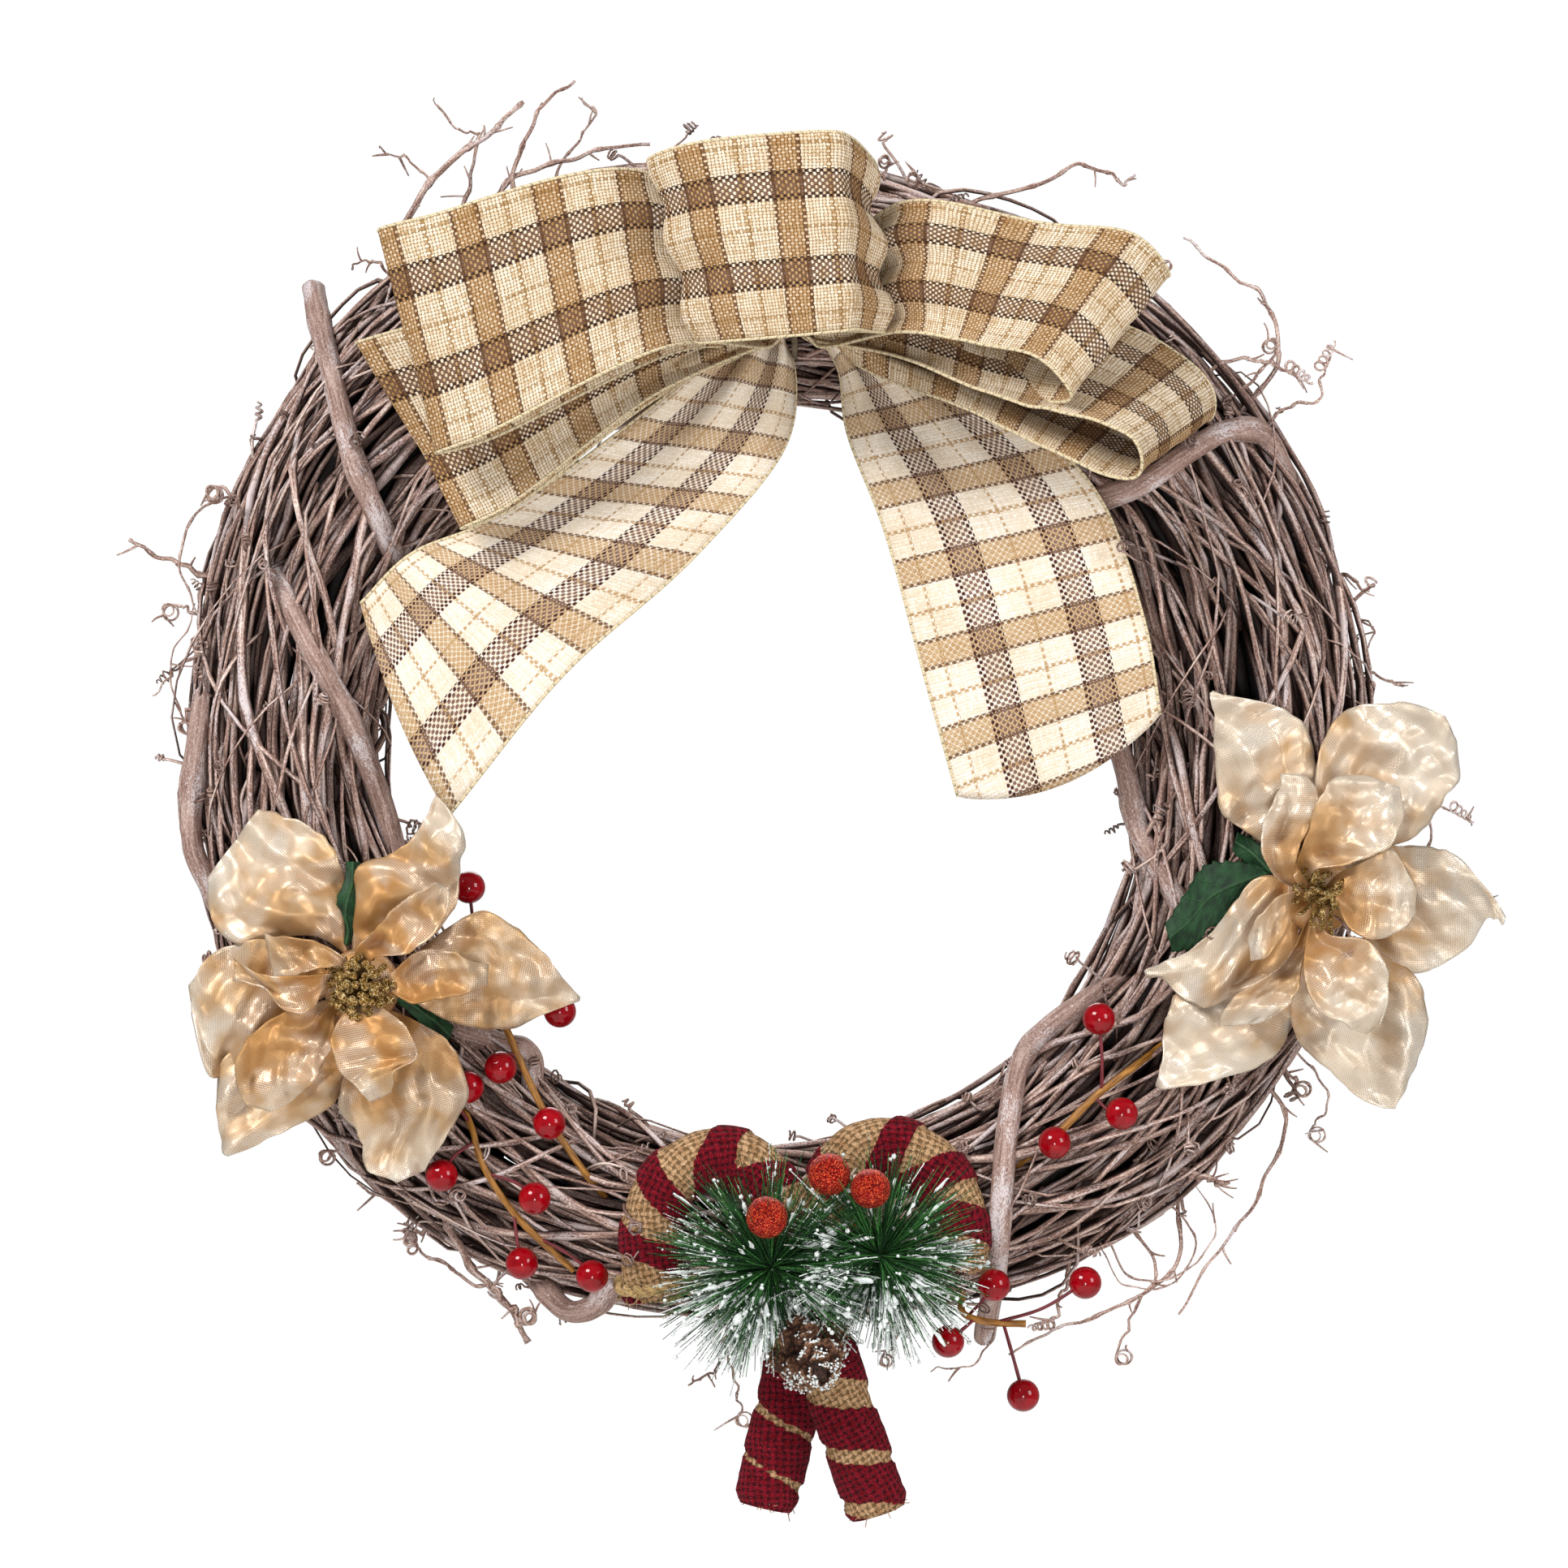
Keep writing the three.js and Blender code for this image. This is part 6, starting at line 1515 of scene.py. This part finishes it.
# The small cone is a dried one, wired by its base and facing the viewer: brown woody scales in rings that
# open round its core, each tipped with white frost.
CONE = {"x": 14.6, "y": -60, "z": -188.2, "radius": 10.6, "height": 14.5, "lean": [-6, 0, 8]}
CONE_SCALES = 34
SCALE_GRID = (9, 9)
FROST_GRAINS = 420
SCALE_THICKNESS = 0.9
CORE_RADII = [4.5, 5.2, 5.0, 4.4, 3.8, 3.0, 2.4, 1.9, 1.5, 1.1]
PEG_RADIUS = 1.1


def cone_scales():
    """The scales, and the tips of their fronts. From the base to the tip of the cone each turns on by the
    golden angle, is shorter, and leans forward more, while the axis runs down and to the right. A scale is
    a curved shield, whose width is a power of a sine, with a rounded tip that curls out, a rib, and a thin
    wall."""
    count, rows, columns = CONE_SCALES, *SCALE_GRID
    number = np.arange(count)[:, None, None]
    share = number / (count - 1)
    a = GOLDEN_ANGLE * number + 0.3 * np.sin(5.3 * number)
    u = np.linspace(0, 1, rows)[None, :, None]
    s = np.linspace(-1, 1, columns)[None, None, :]
    lean = 0.05 + 1.15 * share**1.2 + 0.08 * np.sin(3.7 * number)
    length = CONE["radius"] * (0.95 - 0.6 * share) * (1 + 0.06 * np.sin(7.1 * number))
    reach = 1.2 + 2.0 * (1 - share) + length * u * np.cos(lean)
    half = (1.2 + 3.0 * np.sin(np.pi * (0.12 + 0.8 * u)) ** 0.6) * (1 - 0.4 * share) * s
    lift = length * u * np.sin(lean) - 1.8 * u**4 + 0.7 * np.exp(-9 * s**2) * u - 1.1 * s**2 * u
    depth = CONE["y"] + 7 - CONE["height"] * share - lift
    x = CONE["x"] + CONE["lean"][0] * (1 - share) + reach * np.cos(a) - half * np.sin(a)
    z = CONE["z"] + CONE["lean"][2] * (1 - share) + reach * np.sin(a) + half * np.cos(a)
    points = np.stack(np.broadcast_arrays(x, depth, z), -1)
    front = points.reshape(count, -1, 3)
    back = front + (0, SCALE_THICKNESS, 0)
    grid = grid_faces(rows, columns)
    rim = np.concatenate([np.arange(columns), columns * np.arange(2, rows + 1) - 1,
                          rows * columns - 2 - np.arange(columns - 1), columns * np.arange(rows - 2, 0, -1)])
    onward = np.roll(rim, -1)
    n = rows * columns
    walls = np.stack([onward, rim, rim + n, onward + n], 1)
    faces = np.concatenate([grid, grid[:, ::-1] + n, walls])
    each = 2 * n * np.arange(count)[:, None, None]
    # painted shade: the tone is low at each scale's root and rises to its tip, more on the forward scales; it
    # lights the grain and places the frost
    tone = np.broadcast_to(u**4 * (0.35 + 0.65 * share) - 0.35 * (1 - u), (count, rows, columns))
    both = np.concatenate([front, back], 1).reshape(-1, 3)
    scales = {"points": both, "faces": (faces + each).reshape(-1, 4), "place": both,
              "tone": np.concatenate([tone.reshape(count, -1)] * 2, 1).ravel()}
    return scales, front[:, (rows - 1) * columns :]


scale_wood = Finish("scale_wood", Roughness=0.75, Specular_IOR_Level=0.3)
grain = scale_wood.noise(scale_wood.place(), 0.9, 5)
# painted shade: the grain is darker where the tone is low, at the scales' roots and on the core, and lighter
# to the tips
lit_grain = scale_wood.plus(grain, scale_wood.times(scale_wood.tone(), 0.3))
wood = scale_wood.ramp(lit_grain, (0.25, "140a07"), (0.5, "4a2c1d"), (0.8, "9a6f52"))
frost = scale_wood.step(scale_wood.plus(scale_wood.tone(), scale_wood.times(grain, 1.6)), 1.4, 1.6)
scale_wood.paint(scale_wood.mix(frost, wood, colour("e9eceb")))
scale_wood.relief(grain, 0.6)
middle = np.array([CONE["x"], CONE["y"], CONE["z"]])
core_path = middle + np.linspace([-4.5, 9, 6.3], [0, -14.4, 0], len(CORE_RADII))
core = tubes(core_path[None], CORE_RADII, 14, -0.6)
peg_path = smooth_path([middle + (0, 6, 0), [12, -50, -182], [13, -42, -176]], 12)
peg = tubes(peg_path[None], PEG_RADIUS, 8, 0.0)
scales, rims = cone_scales()
rng = np.random.default_rng(61)
tips = rims[rng.integers(0, len(rims), FROST_GRAINS), rng.integers(0, rims.shape[1], FROST_GRAINS)]
spots = tips + rng.normal(0, 0.5, (FROST_GRAINS, 3)) - (0, 0.3, 0)
grains = balls(spots, rng.uniform(0.15, 0.5, FROST_GRAINS), 3, 6, 2.0)
make_piece("cone_scales", [scales, grains, core, peg], scale_wood.material, ["pine_cone"])

# The studio: the wreath hangs free in front of plain white, over a pale floor. A large soft light stands
# above and to the left of the camera, a weaker one to its right, a small one straight in front, and one
# behind.
CAMERA_DISTANCE = 2.0
LENS = 150
SENSOR = 36
VIEW_MIDDLE = (0.00275, -0.11925)
VIEW_PLANE = -0.03
FLOOR_DEPTH = -0.9
SURROUND_LIGHT = 0.3  # what the white surround sheds on the wreath
SURROUND_SEEN = 1.02  # how bright the camera sees it

floor_mesh = bpy.data.meshes.new("floor")
corners = [(x, y, FLOOR_DEPTH) for x, y in ((-2, -3), (2, -3), (2, 2), (-2, 2))]
floor_mesh.from_pydata(corners, [], [(0, 1, 2, 3)])
floor = bpy.data.objects.new("floor", floor_mesh)
bpy.context.scene.collection.objects.link(floor)
pale = Finish("pale_floor", Roughness=0.8)
pale.paint(pale.ramp(pale.noise((0, 0, 0), 2.0), (0.0, "f2f1ee"), (1.0, "f5f4f2")))
floor_mesh.materials.append(pale.material)


def soft_light(name, place, aim, width, height, power):
    """A rectangular soft light at a place, turned to shine at a point."""
    light = bpy.data.lights.new(name, "AREA")
    light.shape = "RECTANGLE"
    light.size = width
    light.size_y = height
    light.energy = power
    lamp = bpy.data.objects.new(name, light)
    bpy.context.scene.collection.objects.link(lamp)
    lamp.location = place
    from_aim = mathutils.Vector(place) - mathutils.Vector(aim)
    lamp.rotation_mode = "QUATERNION"
    lamp.rotation_quaternion = from_aim.to_track_quat("Z", "Y")


soft_light("light_upper_left", (-1.1, -1.3, 1.2), (0, 0, -0.1), width=0.9, height=0.7, power=44)
soft_light("light_right", (1.5, -1.2, 0.4), (0, 0, -0.1), width=0.7, height=0.9, power=18)
soft_light("light_front", (0.05, -2.3, -0.45), (0, 0, -0.12), width=0.35, height=0.5, power=12)
soft_light("light_back", (0.0, 1.6, 0.9), (0, 0, -0.1), width=1.2, height=0.8, power=10)

world = bpy.data.worlds.new("white_surround")
world.use_nodes = True
bpy.context.scene.world = world
surround = world.node_tree
paper = surround.nodes["Background"]
paper.inputs["Color"].default_value = (1.0, 1.0, 1.0, 1.0)
seen = surround.nodes.new("ShaderNodeLightPath")
strength = surround.nodes.new("ShaderNodeMapRange")
strength.inputs["To Min"].default_value = SURROUND_LIGHT
strength.inputs["To Max"].default_value = SURROUND_SEEN
surround.links.new(seen.outputs["Is Camera Ray"], strength.inputs["Value"])
surround.links.new(strength.outputs[0], paper.inputs["Strength"])
bpy.context.scene.view_settings.view_transform = "Standard"

camera_data = bpy.data.cameras.new("camera")
camera_data.lens = LENS
camera_data.sensor_width = SENSOR
camera = bpy.data.objects.new("camera", camera_data)
bpy.context.scene.collection.objects.link(camera)
camera.location = (VIEW_MIDDLE[0], VIEW_PLANE - CAMERA_DISTANCE, VIEW_MIDDLE[1])
camera.rotation_euler = (np.pi / 2, 0, 0)
bpy.context.scene.camera = camera
